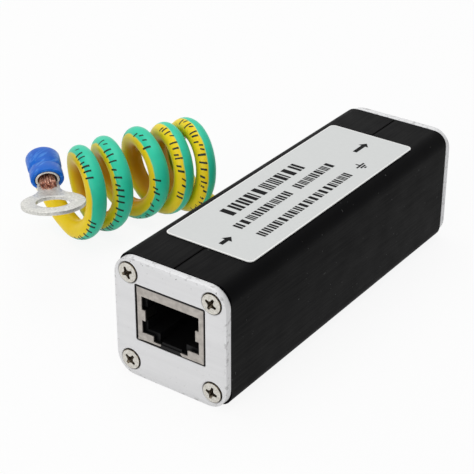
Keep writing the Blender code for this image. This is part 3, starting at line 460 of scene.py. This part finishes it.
def make_finishes():
    return {
        "body": body_finish(),
        "plate": plate_finish(),
        "screw": screw_finish(),
        "shield": shield_finish(),
        "moulding": plain_plastic("moulding_black", srgb(9, 9, 10), 0.5, specular=0.2),
        "gold": plain_metal("contact_gold", srgb(236, 190, 90), srgb(205, 155, 60), 1.0, 0.25),
        "board": plain_plastic("board_green", srgb(20, 92, 52), 0.4),
        "ceramic": plain_plastic("ceramic_pale", srgb(226, 222, 210), 0.4),
        "resistor": plain_plastic("resistor_blue", srgb(70, 110, 160), 0.45),
        "label": label_finish(),
        "bush": plain_plastic("bush_rubber", srgb(24, 24, 24), 0.7),
        "insulation": lead_finish(),
        "copper": plain_metal("strand_copper", srgb(248, 196, 170), srgb(104, 46, 32), 0.6, 0.32, 1100.0),
        "tinned": plain_metal("terminal_tin", srgb(228, 227, 221), srgb(196, 195, 189), 0.45, 0.38,
                              2200.0, 0.16),
        "sleeve": sleeve_finish(),
        "ink": plain_plastic("print_ink", srgb(9, 9, 10), 0.5, bump=0.02, specular=0.05),
        "lead_ink": plain_plastic("lead_ink", srgb(20, 42, 30), 0.5, bump=0.02, specular=0.3),
    }


def add_object(name, data):
    made = bpy.data.objects.new(name, data)
    bpy.context.scene.collection.objects.link(made)
    return made


def add_piece(name, mesh, material, replaced=()):
    """A piece of the scene that rides on the part's one body."""
    piece = add_object(name, mesh)
    mesh.materials.append(material)
    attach(piece, "root")
    if replaced:
        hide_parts(*replaced)
    return piece


def shade(mesh, degrees):
    """Smooth shading up to an angle between faces, and no material yet."""
    mesh.materials.clear()
    mesh.shade_smooth()
    mesh.set_sharp_from_angle(angle=math.radians(degrees))


def make_mesh(name, points, faces, degrees=35.0):
    mesh = bpy.data.meshes.new(name)
    mesh.from_pydata([tuple(p) for p in points], [], faces)
    mesh.update()
    shade(mesh, degrees)
    return mesh


def settled_mesh(holder):
    """The final mesh of an object, which is then removed."""
    graph = bpy.context.evaluated_depsgraph_get()
    mesh = bpy.data.meshes.new_from_object(holder.evaluated_get(graph), depsgraph=graph)
    bpy.data.objects.remove(holder, do_unlink=True)
    return mesh


def face_outward(mesh):
    bm = bmesh.new()
    bm.from_mesh(mesh)
    bmesh.ops.recalc_face_normals(bm, faces=bm.faces)
    bm.to_mesh(mesh)
    bm.free()


def circle(radius, count, start=0.0):
    """Points evenly round a circle."""
    turns = [2 * math.pi * k / count + start for k in range(count)]
    return [(radius * math.cos(turn), radius * math.sin(turn)) for turn in turns]


def tube_faces(rings, sides, first=0):
    """Faces of a tube with closed ends, whose rings of points follow each other from the first."""
    faces = []
    for ring in range(first, first + (rings - 1) * sides, sides):
        for k in range(sides):
            a = ring + k
            b = ring + (k + 1) % sides
            faces.append((a, b, b + sides, a + sides))
    last = first + (rings - 1) * sides
    return faces + [tuple(reversed(range(first, first + sides))), tuple(range(last, last + sides))]


def eased(share):
    """A share of 0 to 1, with a level start and end."""
    share = min(max(share, 0.0), 1.0)
    return share * share * (3 - 2 * share)


def along(table, turn):
    """A value between the entries of a table of (turn, value) pairs."""
    for (start, low), (end, high) in zip(table, table[1:]):
        if turn <= end:
            return low + (high - low) * eased((turn - start) / (end - start))
    return table[-1][1]


def between(a, b, c, d, t):
    """A point from b to c on the smooth curve through all four."""
    return 0.5 * (2 * b + (c - a) * t + (2 * a - 5 * b + 4 * c - d) * t ** 2
                  + (3 * b - a - 3 * c + d) * t ** 3)


def smooth_curve(points, steps):
    """Points on a smooth curve through the given ones, with steps to each stretch."""
    path = [Vector(p) for p in points]
    path = [2 * path[0] - path[1]] + path + [2 * path[-1] - path[-2]]
    fours = zip(path, path[1:], path[2:], path[3:])
    return [between(*four, i / steps) for four in fours for i in range(steps)] + [path[-2]]


def even_route(points, spacing):
    """The smooth curve through the points, read at even steps near the spacing."""
    fine = smooth_curve(points, 30)
    lengths = [0.0]
    for a, b in zip(fine, fine[1:]):
        lengths.append(lengths[-1] + (b - a).length)
    count = round(lengths[-1] / spacing)
    result = []
    index = 0
    for k in range(count + 1):
        wanted = lengths[-1] * k / count
        while index < len(fine) - 2 and lengths[index + 1] < wanted:
            index += 1
        part = (wanted - lengths[index]) / (lengths[index + 1] - lengths[index])
        result.append(fine[index].lerp(fine[index + 1], part))
    return result


def tangents(points):
    inner = [(c - a).normalized() for a, c in zip(points, points[2:])]
    return [(points[1] - points[0]).normalized()] + inner + [(points[-1] - points[-2]).normalized()]


COIL_AXIS = Vector((math.cos(COIL_HEADING), math.sin(COIL_HEADING), 0.0))
COIL_SIDE = Vector((math.sin(COIL_HEADING), -math.cos(COIL_HEADING), 0.0))


def coil_advance(turn):
    """How far along its axis the coil has come, with its uneven steps rounded into one curve."""
    places = [0.0]
    for step in COIL_STEPS:
        places.append(places[-1] + step)
    slopes = [COIL_STEPS[0]] + [(a + b) / 2 for a, b in zip(COIL_STEPS, COIL_STEPS[1:])] + [COIL_STEPS[-1]]
    index = min(int(turn), len(COIL_STEPS) - 1)
    t = turn - index
    return ((2 * t ** 3 - 3 * t ** 2 + 1) * places[index] + (t ** 3 - 2 * t ** 2 + t) * slopes[index]
            + (3 * t ** 2 - 2 * t ** 3) * places[index + 1] + (t ** 3 - t ** 2) * slopes[index + 1])


def coil_radial(turn):
    """Outward from the coil's axis: down at whole turns, towards the camera at the quarters."""
    angle = 2 * math.pi * turn
    return COIL_SIDE * math.sin(angle) - Vector((0.0, 0.0, 1.0)) * math.cos(angle)


def coil_stray(turn):
    """The wire's stray from the helix, on a smooth curve through its quarter turns."""
    last = len(COIL_STRAY) - 1
    place = min(max(turn * 4, 0.0), last)
    index = min(int(place), last - 1)
    near = [Vector(COIL_STRAY[min(max(k, 0), last)]) for k in range(index - 1, index + 3)]
    value = between(*near, place - index)
    return (COIL_AXIS * value.x + COIL_SIDE * value.y) / 1000


def coil_point(turn):
    centre = COIL_START + COIL_AXIS * coil_advance(turn) + Vector((0.0, 0.0, COIL_RADIUS + LEAD_LOW))
    return centre + coil_radial(turn) * COIL_RADIUS + coil_stray(turn)


def coil_direction(turn, degrees):
    """A direction across the wire, so many degrees from outward towards the coil's near end."""
    angle = math.radians(degrees)
    return coil_radial(turn) * math.cos(angle) - COIL_AXIS * math.sin(angle)


def lead_route():
    """The path, and the turn of the coil that each of its points has, or None off the coil."""
    turns = len(COIL_STEPS)
    wound = [turns - k / COIL_POINTS for k in range(turns * COIL_POINTS + 1)]
    tail = even_route([LEAD_EXIT, *TAIL, coil_point(turns)], TAIL_SPACING)[:-1]
    mouth = [TERMINAL_PLACE @ Vector((0.0, SLEEVE_LENGTH + reach, height)) for reach, height in MOUTH]
    rise = even_route([coil_point(0.0), *RISE, *mouth], RISE_SPACING)[1:]
    points = tail + [coil_point(turn) for turn in wound] + rise
    return points, [None] * len(tail) + wound + [None] * len(rise)


def carried(normals, directions, order):
    """Fills in the missing normals by carrying a known one along the wire without a twist."""
    previous = None
    for i in order:
        if normals[i] is None and previous is not None:
            normal = normals[previous] - directions[i] * normals[previous].dot(directions[i])
            normals[i] = normal.normalized()
        previous = i if normals[i] is not None else previous


def lead_mesh(points, normals, directions, outward):
    """A tube around the points, its seam on the normals, with its ends closed.

    Its stripe attribute is 1 along the seam and -1 opposite, and inner, the strength of the painted shade,
    is 1 where the coil faces its axis.
    """
    verts = []
    stripe = []
    inner = []
    for point, normal, direction, out in zip(points, normals, directions, outward):
        across = direction.cross(normal).normalized()
        for cosine, sine in circle(1.0, LEAD_SIDES):
            facing = normal * cosine + across * sine
            verts.append(point + facing * LEAD_RADIUS)
            stripe.append(cosine)
            inner.append(max(0.0, -facing.dot(out)) if out is not None else 0.0)
    mesh = make_mesh("earth_lead", verts, tube_faces(len(points), LEAD_SIDES), 50.0)
    mesh.attributes.new("stripe", "FLOAT", "POINT").data.foreach_set("value", stripe)
    mesh.attributes.new("inner", "FLOAT", "POINT").data.foreach_set("value", inner)
    return mesh


def make_lead(finishes):
    """The lead as one wire, from the bush through the coil to the ring terminal."""
    path, turns = lead_route()
    fine = smooth_curve(path, FINE_STEPS)
    directions = tangents(fine)
    normals = [None] * len(fine)
    outward = [None] * len(fine)
    for i, (turn, later) in enumerate(zip(turns, turns[1:])):
        if turn is None:
            continue
        for k in range(FINE_STEPS if later is not None else 1):
            value = turn if later is None else turn + (later - turn) * k / FINE_STEPS
            normal = coil_direction(value, along(STRIPE_EDGES, value) + 90.0)
            place = i * FINE_STEPS + k
            outward[place] = coil_radial(value) * along(INNER_SHADE, value)
            normals[place] = (normal - directions[place] * normal.dot(directions[place])).normalized()
    carried(normals, directions, range(len(fine)))
    carried(normals, directions, range(len(fine) - 1, -1, -1))
    mesh = lead_mesh(fine, normals, directions, outward)
    lead = add_piece("earth_lead", mesh, finishes["insulation"],
                     ("earth_lead_tail", "earth_coil", "earth_lead_end"))
    length = sum((b - a).length for a, b in zip(path, path[1:]))
    return lead, path, round(length, 4)


def make_lead_marks():
    """Plain dark strokes in groups along the coil, where the insulation carries its print."""
    dice = random.Random(MARK_SEED)
    turn_length = 2 * math.pi * COIL_RADIUS
    verts = []
    faces = []
    for start, end in MARK_GROUPS:
        turn = start
        while turn < end:
            wide = dice.uniform(*MARK_WIDTHS) / turn_length
            reach, shift = dice.choice(MARK_SHAPES)
            slant = dice.uniform(*MARK_SLANTS) / turn_length
            add_mark(verts, faces, turn, (wide, slant), MARK_ANGLE + shift, reach)
            turn += wide + dice.uniform(*MARK_GAPS) / turn_length
    return make_mesh("lead_marks", verts, faces, 80.0)


def add_mark(verts, faces, turn, size, middle, reach):
    """One stroke across the wire, as a patch that follows its curve."""
    wide, slant = size
    lift = LEAD_RADIUS + PRINT_LIFT
    first = len(verts)
    for step in (0.0, 0.5, 1.0):
        for k in range(MARK_STEPS + 1):
            share = k / MARK_STEPS
            place = turn + wide * step + slant * (share - 0.5)
            degrees = middle - reach + 2 * reach * share
            verts.append(coil_point(place) + coil_direction(place, degrees) * lift)
    for row in range(2):
        for k in range(MARK_STEPS):
            a = first + row * (MARK_STEPS + 1) + k
            faces.append((a, a + 1, a + MARK_STEPS + 2, a + MARK_STEPS + 1))


def make_terminal(finishes):
    """The terminal's sheet, sleeve and strands, in its own frame and then set in place."""
    made = []
    for name, mesh, slot, replaced in (
            ("terminal_sheet", terminal_sheet_mesh(), "tinned", "ring_terminal"),
            ("terminal_insulation", sleeve_mesh(), "sleeve", "terminal_sleeve"),
            ("terminal_strands", strands_mesh(), "copper", "stripped_core")):
        mesh.transform(TERMINAL_PLACE)
        made.append(add_piece(name, mesh, finishes[slot], (replaced,)))
    return made


def flatness(y):
    """Height over width of the crimp, which turns rounder behind the tool's groove."""
    rounder = SLEEVE_REAR_FLATNESS - SLEEVE_FLATNESS
    return SLEEVE_FLATNESS + rounder * eased((y - SLEEVE_GROOVE) / SLEEVE_FADE)


def turned_about_y(name, sections):
    """A closed oval tube about Y, from (y, half width) sections in one loop."""
    verts = []
    for y, radius in sections:
        verts += [(x, y, z * flatness(y)) for x, z in circle(radius, TURNED_SIDES)]
    faces = []
    for i in range(len(sections)):
        near = i * TURNED_SIDES
        far = (i + 1) % len(sections) * TURNED_SIDES
        for k in range(TURNED_SIDES):
            following = (k + 1) % TURNED_SIDES
            faces.append((near + k, far + k, far + following, near + following))
    return make_mesh(name, verts, faces)


def sleeve_mesh():
    """Crimped sleeve: a collar at the mouth, the tool's groove, then a fuller rear part."""
    bore = SLEEVE_HALF_WIDTH - SLEEVE_WALL
    profile = [(y, SLEEVE_HALF_WIDTH + proud) for y, proud in SLEEVE_OUTSIDE]
    profile += [(y, bore + wider) for y, wider in SLEEVE_INSIDE]
    return turned_about_y("terminal_insulation", profile)


def ring_outline():
    """Ring and tongue in XY, the ring's centre at the origin, the tongue flaring into the ring."""
    points = []
    for k in range(TURNED_SIDES + 1):
        angle = math.pi / 2 + RING_FLARE + (2 * math.pi - 2 * RING_FLARE) * k / TURNED_SIDES
        points.append((RING_RADIUS * math.cos(angle), RING_RADIUS * math.sin(angle)))
    start = Vector((math.sin(RING_FLARE), math.cos(RING_FLARE))) * RING_RADIUS
    end = Vector((NECK_HALF_WIDTH, RING_TO_MOUTH - CRADLE_LENGTH))
    side = []
    for k in range(1, 9):
        t = k / 8
        side.append(tuple(start * (1 - t) ** 2 + NECK_BEND * 2 * t * (1 - t) + end * t ** 2))
    side.append((NECK_HALF_WIDTH, RING_TO_MOUTH + NECK_OVERLAP))
    return points + side + [(-x, y) for x, y in reversed(side)]


def terminal_sheet_mesh():
    """Ring, tongue and rolled barrel of one tinned sheet."""
    curve = bpy.data.curves.new("ring_curve", "CURVE")
    curve.dimensions = "2D"
    curve.fill_mode = "BOTH"
    curve.extrude = RING_SHEET / 2 - RING_ROUNDING
    curve.bevel_depth = RING_ROUNDING
    curve.bevel_resolution = 2
    curve.offset = -RING_ROUNDING
    for loop in (ring_outline(), circle(RING_HOLE_RADIUS, TURNED_SIDES)):
        spline = curve.splines.new("POLY")
        spline.points.add(len(loop) - 1)
        for point, (x, y) in zip(spline.points, loop):
            point.co = (x, y, 0.0, 1.0)
        spline.use_cyclic_u = True
    plate = settled_mesh(add_object("ring_curve", curve))
    bend = RING_TO_MOUTH - CRADLE_LENGTH
    outer = SLEEVE_HALF_WIDTH - SLEEVE_WALL - CRIMP_GAP
    inner = outer - BARREL_WALL
    drop = outer * SLEEVE_FLATNESS - RING_SHEET / 2
    bm = bmesh.new()
    bm.from_mesh(plate)
    bmesh.ops.remove_doubles(bm, verts=bm.verts, dist=2 * WELD)
    geometry = bm.verts[:] + bm.edges[:] + bm.faces[:]
    bmesh.ops.bisect_plane(bm, geom=geometry, plane_co=(0.0, bend, 0.0), plane_no=(0.0, 1.0, 0.0))
    for vertex in bm.verts:
        if vertex.co.y < bend:
            vertex.co.z += (bend - vertex.co.y) * math.tan(RING_TILT)
    bmesh.ops.translate(bm, vec=(0.0, -RING_TO_MOUTH, -drop), verts=bm.verts)
    back, edge = BARREL_ROUNDING
    bm.from_mesh(turned_about_y("barrel", [(back, outer), (0.0, outer - edge), (0.0, inner + edge),
                                           (back, inner), (BARREL_LENGTH, inner), (BARREL_LENGTH, outer)]))
    bm.to_mesh(plate)
    bm.free()
    plate.name = "terminal_sheet"
    shade(plate, 35.0)
    return plate


def strands_mesh():
    """Bare strands that sag in the barrel, their cut ends lying out on the tongue."""
    dice = random.Random(STRAND_SEED)
    half = SLEEVE_HALF_WIDTH - SLEEVE_WALL - BARREL_WALL - 2 * CRIMP_GAP - STRAND_RADIUS
    seats = [(0.0, 0.0)]
    for ring, count in STRAND_RINGS:
        seats += [(x, z * SLEEVE_FLATNESS) for x, z in circle(half * ring, count, ring)]
    floor = -half * SLEEVE_FLATNESS
    verts = []
    faces = []
    for x, z in seats:
        reach = dice.uniform(*STRAND_REACHES) * (1.15 - 0.55 * z / half)
        spread = dice.uniform(*STRAND_SPREADS)
        lower, laid = [floor + (z - floor) * share for share in STRAND_SAG]
        stations = ((SLEEVE_LENGTH - 0.003, x, z), (0.002, x, 0.5 * (z + lower)),
                    (0.0004, x * spread, lower), (-0.5 * reach, x * spread * 1.02, 0.5 * (lower + laid)),
                    (-reach, x * spread * 1.06, laid))
        faces += tube_faces(len(stations), STRAND_SIDES, len(verts))
        for y, across, height in stations:
            verts += [(across + a, y, height + b) for a, b in circle(STRAND_RADIUS, STRAND_SIDES)]
    return make_mesh("terminal_strands", verts, faces, 50.0)


def label_outline(low, high, inset):
    """The label's rounded outline in XY, drawn in by an inset."""
    left, near = low[0] + LABEL_CORNER, low[1] + LABEL_CORNER
    right, far = high[0] - LABEL_CORNER, high[1] - LABEL_CORNER
    points = []
    for quarter, (x, y) in enumerate(((right, far), (left, far), (left, near), (right, near))):
        for k in range(LABEL_STEPS + 1):
            turn = math.pi / 2 * (quarter + k / LABEL_STEPS)
            points.append((x + (LABEL_CORNER - inset) * math.cos(turn),
                           y + (LABEL_CORNER - inset) * math.sin(turn)))
    return points


def make_label(finishes):
    """The film with a painted highlight along its cut edge, and plain bars and signs where it is printed."""
    low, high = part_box("label")
    foot, top = low[2], high[2]
    # Each loop: inset, height, and the strength of the painted highlight.
    loops = ((LABEL_RIM, foot, 1.0), (0.0, foot, 1.0), (0.0, top - LABEL_ROUNDING, 1.0),
             (LABEL_ROUNDING, top, 1.0), (LABEL_RIM, top, 1.0), (LABEL_RIM + LABEL_HIGHLIGHT_FADE, top, 0.0))
    verts = []
    values = []
    for inset, height, value in loops:
        verts += [(x, y, height) for x, y in label_outline(low, high, inset)]
        values += [value] * (4 * (LABEL_STEPS + 1))
    mesh = make_mesh("label_film", verts, tube_faces(len(loops), 4 * (LABEL_STEPS + 1)))
    mesh.attributes.new("rim", "FLOAT", "POINT").data.foreach_set("value", values)
    add_piece("label_film", mesh, finishes["label"], ("label",))
    add_piece("label_print", print_mesh(top + PRINT_LIFT), finishes["ink"])


def bar(top, foot, start, end):
    return [(top, start), (foot, start), (foot, end), (top, end)]


def print_mesh(height):
    """Flat bars in the rows, an arrow at each port's end of the label, and the sign for earth."""
    dice = random.Random(PRINT_SEED)
    shapes = []
    for top, foot, start, end, cells in PRINT_ROWS:
        pitch = (end - start) / cells
        for cell in range(cells):
            for first, wide in dice.choice(PRINT_CELLS):
                place = start + pitch * (cell + first)
                shapes.append(bar(top, foot, place, place + pitch * wide))
    for top, foot, start, end in PRINT_ARROWS:
        middle = (top + foot) / 2
        neck = end - ARROW_HEAD * (foot - top)
        half = ARROW_SHAFT * (foot - top)
        shapes.append(bar(middle - half, middle + half, start, neck))
        shapes.append([(foot, neck), (middle, end), (top, neck)])
    top, foot, start, end = PRINT_EARTH
    middle = (start + end) / 2
    line = EARTH_LINE * (foot - top)
    shapes.append(bar(top, top + EARTH_BARS[0][0] * line, middle - 0.5 * line, middle + 0.5 * line))
    for level, share in EARTH_BARS:
        reach = share * (end - start) / 2
        shapes.append(bar(top + level * line, top + (level + 1) * line, middle - reach, middle + reach))
    verts = []
    faces = []
    for shape in shapes:
        faces.append(tuple(range(len(verts), len(verts) + len(shape))))
        verts += [(x / 1000, y / 1000, height) for x, y in shape]
    return make_mesh("label_print", verts, faces)


def make_shields(finishes):
    """The sockets' shields, with their folded front edge drawn up to the plate's face."""
    for end, sign in ENDS:
        low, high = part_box(f"{end}_shield")
        face = low[1] if sign < 0 else high[1]
        mesh = nodes[f"{end}_shield"].data.copy()
        mesh.name = f"{end}_shield_folded"
        bm = bmesh.new()
        bm.from_mesh(mesh)
        bmesh.ops.remove_doubles(bm, verts=bm.verts, dist=WELD)
        front = [vertex for vertex in bm.verts if abs(vertex.co.y - face) < FACE_REACH]
        fold = []
        for edge in bm.edges:
            x, y, z = (edge.verts[0].co + edge.verts[1].co) / 2
            outer = min(x - low[0], high[0] - x, z - low[2], high[2] - z)
            if all(vertex in front for vertex in edge.verts) and abs(outer) < OUTLINE_REACH:
                fold.append(edge)
        for vertex in front:
            vertex.co.y += sign * SHIELD_FORWARD
        bmesh.ops.bevel(bm, geom=fold, offset=SHIELD_BEND, segments=3, profile=0.5, affect="EDGES")
        bm.to_mesh(mesh)
        bm.free()
        shade(mesh, 32.0)
        piece = add_piece(mesh.name, mesh, finishes["shield"], (f"{end}_shield",))
        rounding = piece.modifiers.new("Rounding", "BEVEL")
        rounding.width = SHIELD_ROUNDING
        rounding.segments = 2
        rounding.limit_method = "ANGLE"
        rounding.angle_limit = math.radians(50.0)


def make_lips(finishes):
    """The moulding's lip under each plug opening, which fills the latch slot up to the plate."""
    raised = LIP_HEIGHT + LIP_RISE
    profile = ((0.0, 0.0), (LIP_HEIGHT - LIP_ROUNDING, 0.0), (LIP_HEIGHT, LIP_ROUNDING),
               (LIP_HEIGHT, LIP_STEP), (raised, LIP_STEP + LIP_ROUNDING), (raised, LIP_DEPTH),
               (0.0, LIP_DEPTH))
    for end, sign in ENDS:
        low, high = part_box(f"{end}_shield")
        face = (low[1] if sign < 0 else high[1]) + sign * (SHIELD_FORWARD - LIP_BEHIND)
        middle = (low[0] + high[0]) / 2
        verts = [(middle + side * LIP_HALF, face - sign * depth, low[2] + LIP_LIFT + height)
                 for side in (-1.0, 1.0) for height, depth in profile]
        mesh = make_mesh(f"{end}_socket_lip", verts, tube_faces(2, len(profile)))
        face_outward(mesh)
        add_piece(mesh.name, mesh, finishes["moulding"])


def lathe(profile, sides):
    """A closed body turned about Y, from (y, radius) points whose first and last lie on the axis."""
    verts = [(0.0, profile[0][0], 0.0)]
    for y, radius in profile[1:-1]:
        verts += [(x, y, z) for x, z in circle(radius, sides)]
    verts.append((0.0, profile[-1][0], 0.0))
    last = len(verts) - 1
    faces = []
    for k in range(sides):
        following = (k + 1) % sides
        faces.append((0, 1 + k, 1 + following))
        for ring in range(len(profile) - 3):
            a = 1 + ring * sides
            faces.append((a + k, a + sides + k, a + sides + following, a + following))
        faces.append((last, last - sides + following, last - sides + k))
    return verts, faces


def screw_mesh():
    """Countersunk screw along +Y, its crowned head at y = 0, with a tapered cross recess."""
    crown = SCREW_HEAD - SCREW_ROUNDING
    profile = [(SCREW_CROWN * step ** 2, crown * step) for step in (0.0, 0.35, 0.65, 0.85, 1.0)]
    rim = SCREW_CROWN + SCREW_RIM
    profile += [(SCREW_CROWN + SCREW_EDGE[0], SCREW_HEAD - SCREW_EDGE[1]), (rim, SCREW_HEAD),
                (rim + SCREW_HEAD - SCREW_SHANK, SCREW_SHANK), (SCREW_LENGTH - SCREW_POINT, SCREW_SHANK),
                (SCREW_LENGTH, 0.4 * SCREW_SHANK), (SCREW_LENGTH, 0.0)]
    body = add_object("screw_blank", make_mesh("screw_blank", *lathe(profile, SCREW_SIDES)))
    half = RECESS_WIDTH / 2
    arm = ((RECESS_REACH, -RECESS_ARM_END * half), (RECESS_REACH, RECESS_ARM_END * half),
           (half + RECESS_FILLET, half), (half, half + RECESS_FILLET))
    cross = [(out * cosine - side * sine, out * sine + side * cosine)
             for cosine, sine in circle(1.0, 4) for out, side in arm]
    verts = [(x * scale, y, z * scale) for y, scale in RECESS_LEVELS for x, z in cross]
    tool = add_object("cross", make_mesh("cross", verts, tube_faces(len(RECESS_LEVELS), len(cross))))
    for made in (tool, body):
        face_outward(made.data)
    cutting = body.modifiers.new("Recess", "BOOLEAN")
    cutting.object = tool
    cutting.solver = "EXACT"
    mesh = settled_mesh(body)
    bpy.data.objects.remove(tool, do_unlink=True)
    return recess_marked(mesh)


def recess_marked(mesh):
    """Parts the recess and the head's edge from the rest, and notes them in an attribute that carries
    painted shade.
    """
    bm = bmesh.new()
    bm.from_mesh(mesh)
    painted_shade = set()
    for face in bm.faces:
        centre = face.calc_center_median()
        across = math.hypot(centre.x, centre.z)
        wall = across < 1.1 * RECESS_REACH and abs(face.normal.y) < 0.97
        bottom = across < RECESS_REACH and 0.5 * RECESS_DEPTH < centre.y < 2 * RECESS_DEPTH
        rim = across > SCREW_HEAD - SCREW_EDGE_SHADE and centre.y > SCREW_CROWN
        if wall or bottom or rim:
            painted_shade.add(face)
    outline = [edge for edge in bm.edges if len({face in painted_shade for face in edge.link_faces}) == 2]
    bmesh.ops.split_edges(bm, edges=outline)
    layer = bm.verts.layers.float.new("recess")
    for vertex in bm.verts:
        vertex[layer] = 1.0 if any(face in painted_shade for face in vertex.link_faces) else 0.0
    bm.to_mesh(mesh)
    bm.free()
    mesh.name = "screw"
    shade(mesh, 30.0)
    return mesh


def make_screws(finishes):
    """Eight screws, each come to rest at its own turn."""
    pattern = screw_mesh()
    for end, turns in (("front", FRONT_SCREW_TURNS), ("rear", REAR_SCREW_TURNS)):
        for number, degrees in enumerate(turns, 1):
            name = f"{end}_screw_{number}"
            low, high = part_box(name)
            face = low[1] if end == "front" else high[1]
            facing = 0.0 if end == "front" else math.pi
            mesh = pattern.copy()
            place = Vector(((low[0] + high[0]) / 2, face, (low[2] + high[2]) / 2))
            mesh.transform(Matrix.Translation(place) @ Matrix.Rotation(facing, 4, "Z")
                           @ Matrix.Rotation(math.radians(degrees), 4, "Y")
                           @ Matrix.Translation((0.0, -SCREW_PROUD, 0.0)))
            add_piece(f"{end}_screw_set_{number}", mesh, finishes["screw"], (name,))


def smooth_node(node):
    """Shades a node of the model smooth across its facets and sharp at its real edges."""
    for polygon in node.data.polygons:
        polygon.use_smooth = True
    node.modifiers.new("Weld", "WELD").merge_threshold = WELD
    node.modifiers.new("Edges", "EDGE_SPLIT").split_angle = math.radians(32.0)


def dress_nodes(finishes):
    slots = {row["node"]: row["material_slot"] for row in frame["record"]["subparts"]}
    for name, node in nodes.items():
        if not node.hide_render:
            smooth_node(node)
            node.data.materials.clear()
            node.data.materials.append(finishes[slots[name]])


def make_camera():
    data = bpy.data.cameras.new("camera")
    data.lens = CAMERA_LENS
    data.sensor_width = CAMERA_SENSOR
    data.clip_start = 0.01
    data.clip_end = 20.0
    camera = add_object("camera", data)
    camera.location = CAMERA_PLACE
    camera.rotation_euler = [math.radians(angle) for angle in CAMERA_TURN]
    bpy.context.scene.camera = camera


def add_light(name, place, target, size, power):
    data = bpy.data.lights.new(name, "AREA")
    data.shape = "RECTANGLE"
    data.size, data.size_y = size
    data.energy = power
    light = add_object(name, data)
    light.location = place
    light.rotation_euler = (Vector(target) - Vector(place)).to_track_quat("-Z", "Y").to_euler()


def seen_share(tree):
    """1 for rays that should find the white surround: from the camera, or by gloss or glass."""
    rays = tree.nodes.new("ShaderNodeLightPath")
    share = rays.outputs["Is Camera Ray"]
    for kind in ("Is Glossy Ray", "Is Transmission Ray"):
        wider = tree.nodes.new("ShaderNodeMath")
        wider.operation = "MAXIMUM"
        tree.links.new(share, wider.inputs[0])
        tree.links.new(rays.outputs[kind], wider.inputs[1])
        share = wider.outputs[0]
    return share


def make_world():
    world = bpy.data.worlds.new("studio")
    world.use_nodes = True
    bpy.context.scene.world = world
    tree = world.node_tree
    background = tree.nodes["Background"]
    background.inputs["Color"].default_value = (1.0, 1.0, 1.0, 1.0)
    strength = tree.nodes.new("ShaderNodeMapRange")
    strength.inputs["To Min"].default_value = WORLD_LIGHT
    strength.inputs["To Max"].default_value = 1.0
    tree.links.new(seen_share(tree), strength.inputs["Value"])
    tree.links.new(strength.outputs["Result"], background.inputs["Strength"])


def make_floor():
    mesh = bpy.data.meshes.new("floor")
    corners = [(x * FLOOR_HALF, y * FLOOR_HALF, 0.0) for x, y in ((-1, -1), (1, -1), (1, 1), (-1, 1))]
    mesh.from_pydata(corners, [], [(0, 1, 2, 3)])
    floor = add_object("floor", mesh)
    floor.location.z = -FLOOR_DROP
    finish = Finish("floor_white")
    finish.set(Base_Color=(FLOOR_GREY, FLOOR_GREY, FLOOR_GREY, 1.0), Roughness=0.9)
    glow = finish.node("ShaderNodeEmission").outputs[0]
    share = finish.math("MULTIPLY", seen_share(finish.tree), FLOOR_GLOW)
    surface = finish.node("ShaderNodeMixShader", {0: share, 1: finish.shader.outputs[0], 2: glow}).outputs[0]
    finish.feed(finish.tree.nodes["Material Output"].inputs["Surface"], surface)
    mesh.materials.append(finish.material)


def make_studio():
    scene = bpy.context.scene
    scene.view_settings.view_transform = "Standard"
    make_world()
    make_floor()
    add_light("overhead", *OVERHEAD_LAMP)
    add_light("front", *FRONT_LAMP)


def main():
    make_camera()
    finishes = make_finishes()
    lead, path, length = make_lead(finishes)
    marks = add_piece("lead_marks", make_lead_marks(), finishes["lead_ink"])
    terminal = make_terminal(finishes)
    make_label(finishes)
    make_screws(finishes)
    make_shields(finishes)
    make_lips(finishes)
    dress_nodes(finishes)
    make_studio()


main()
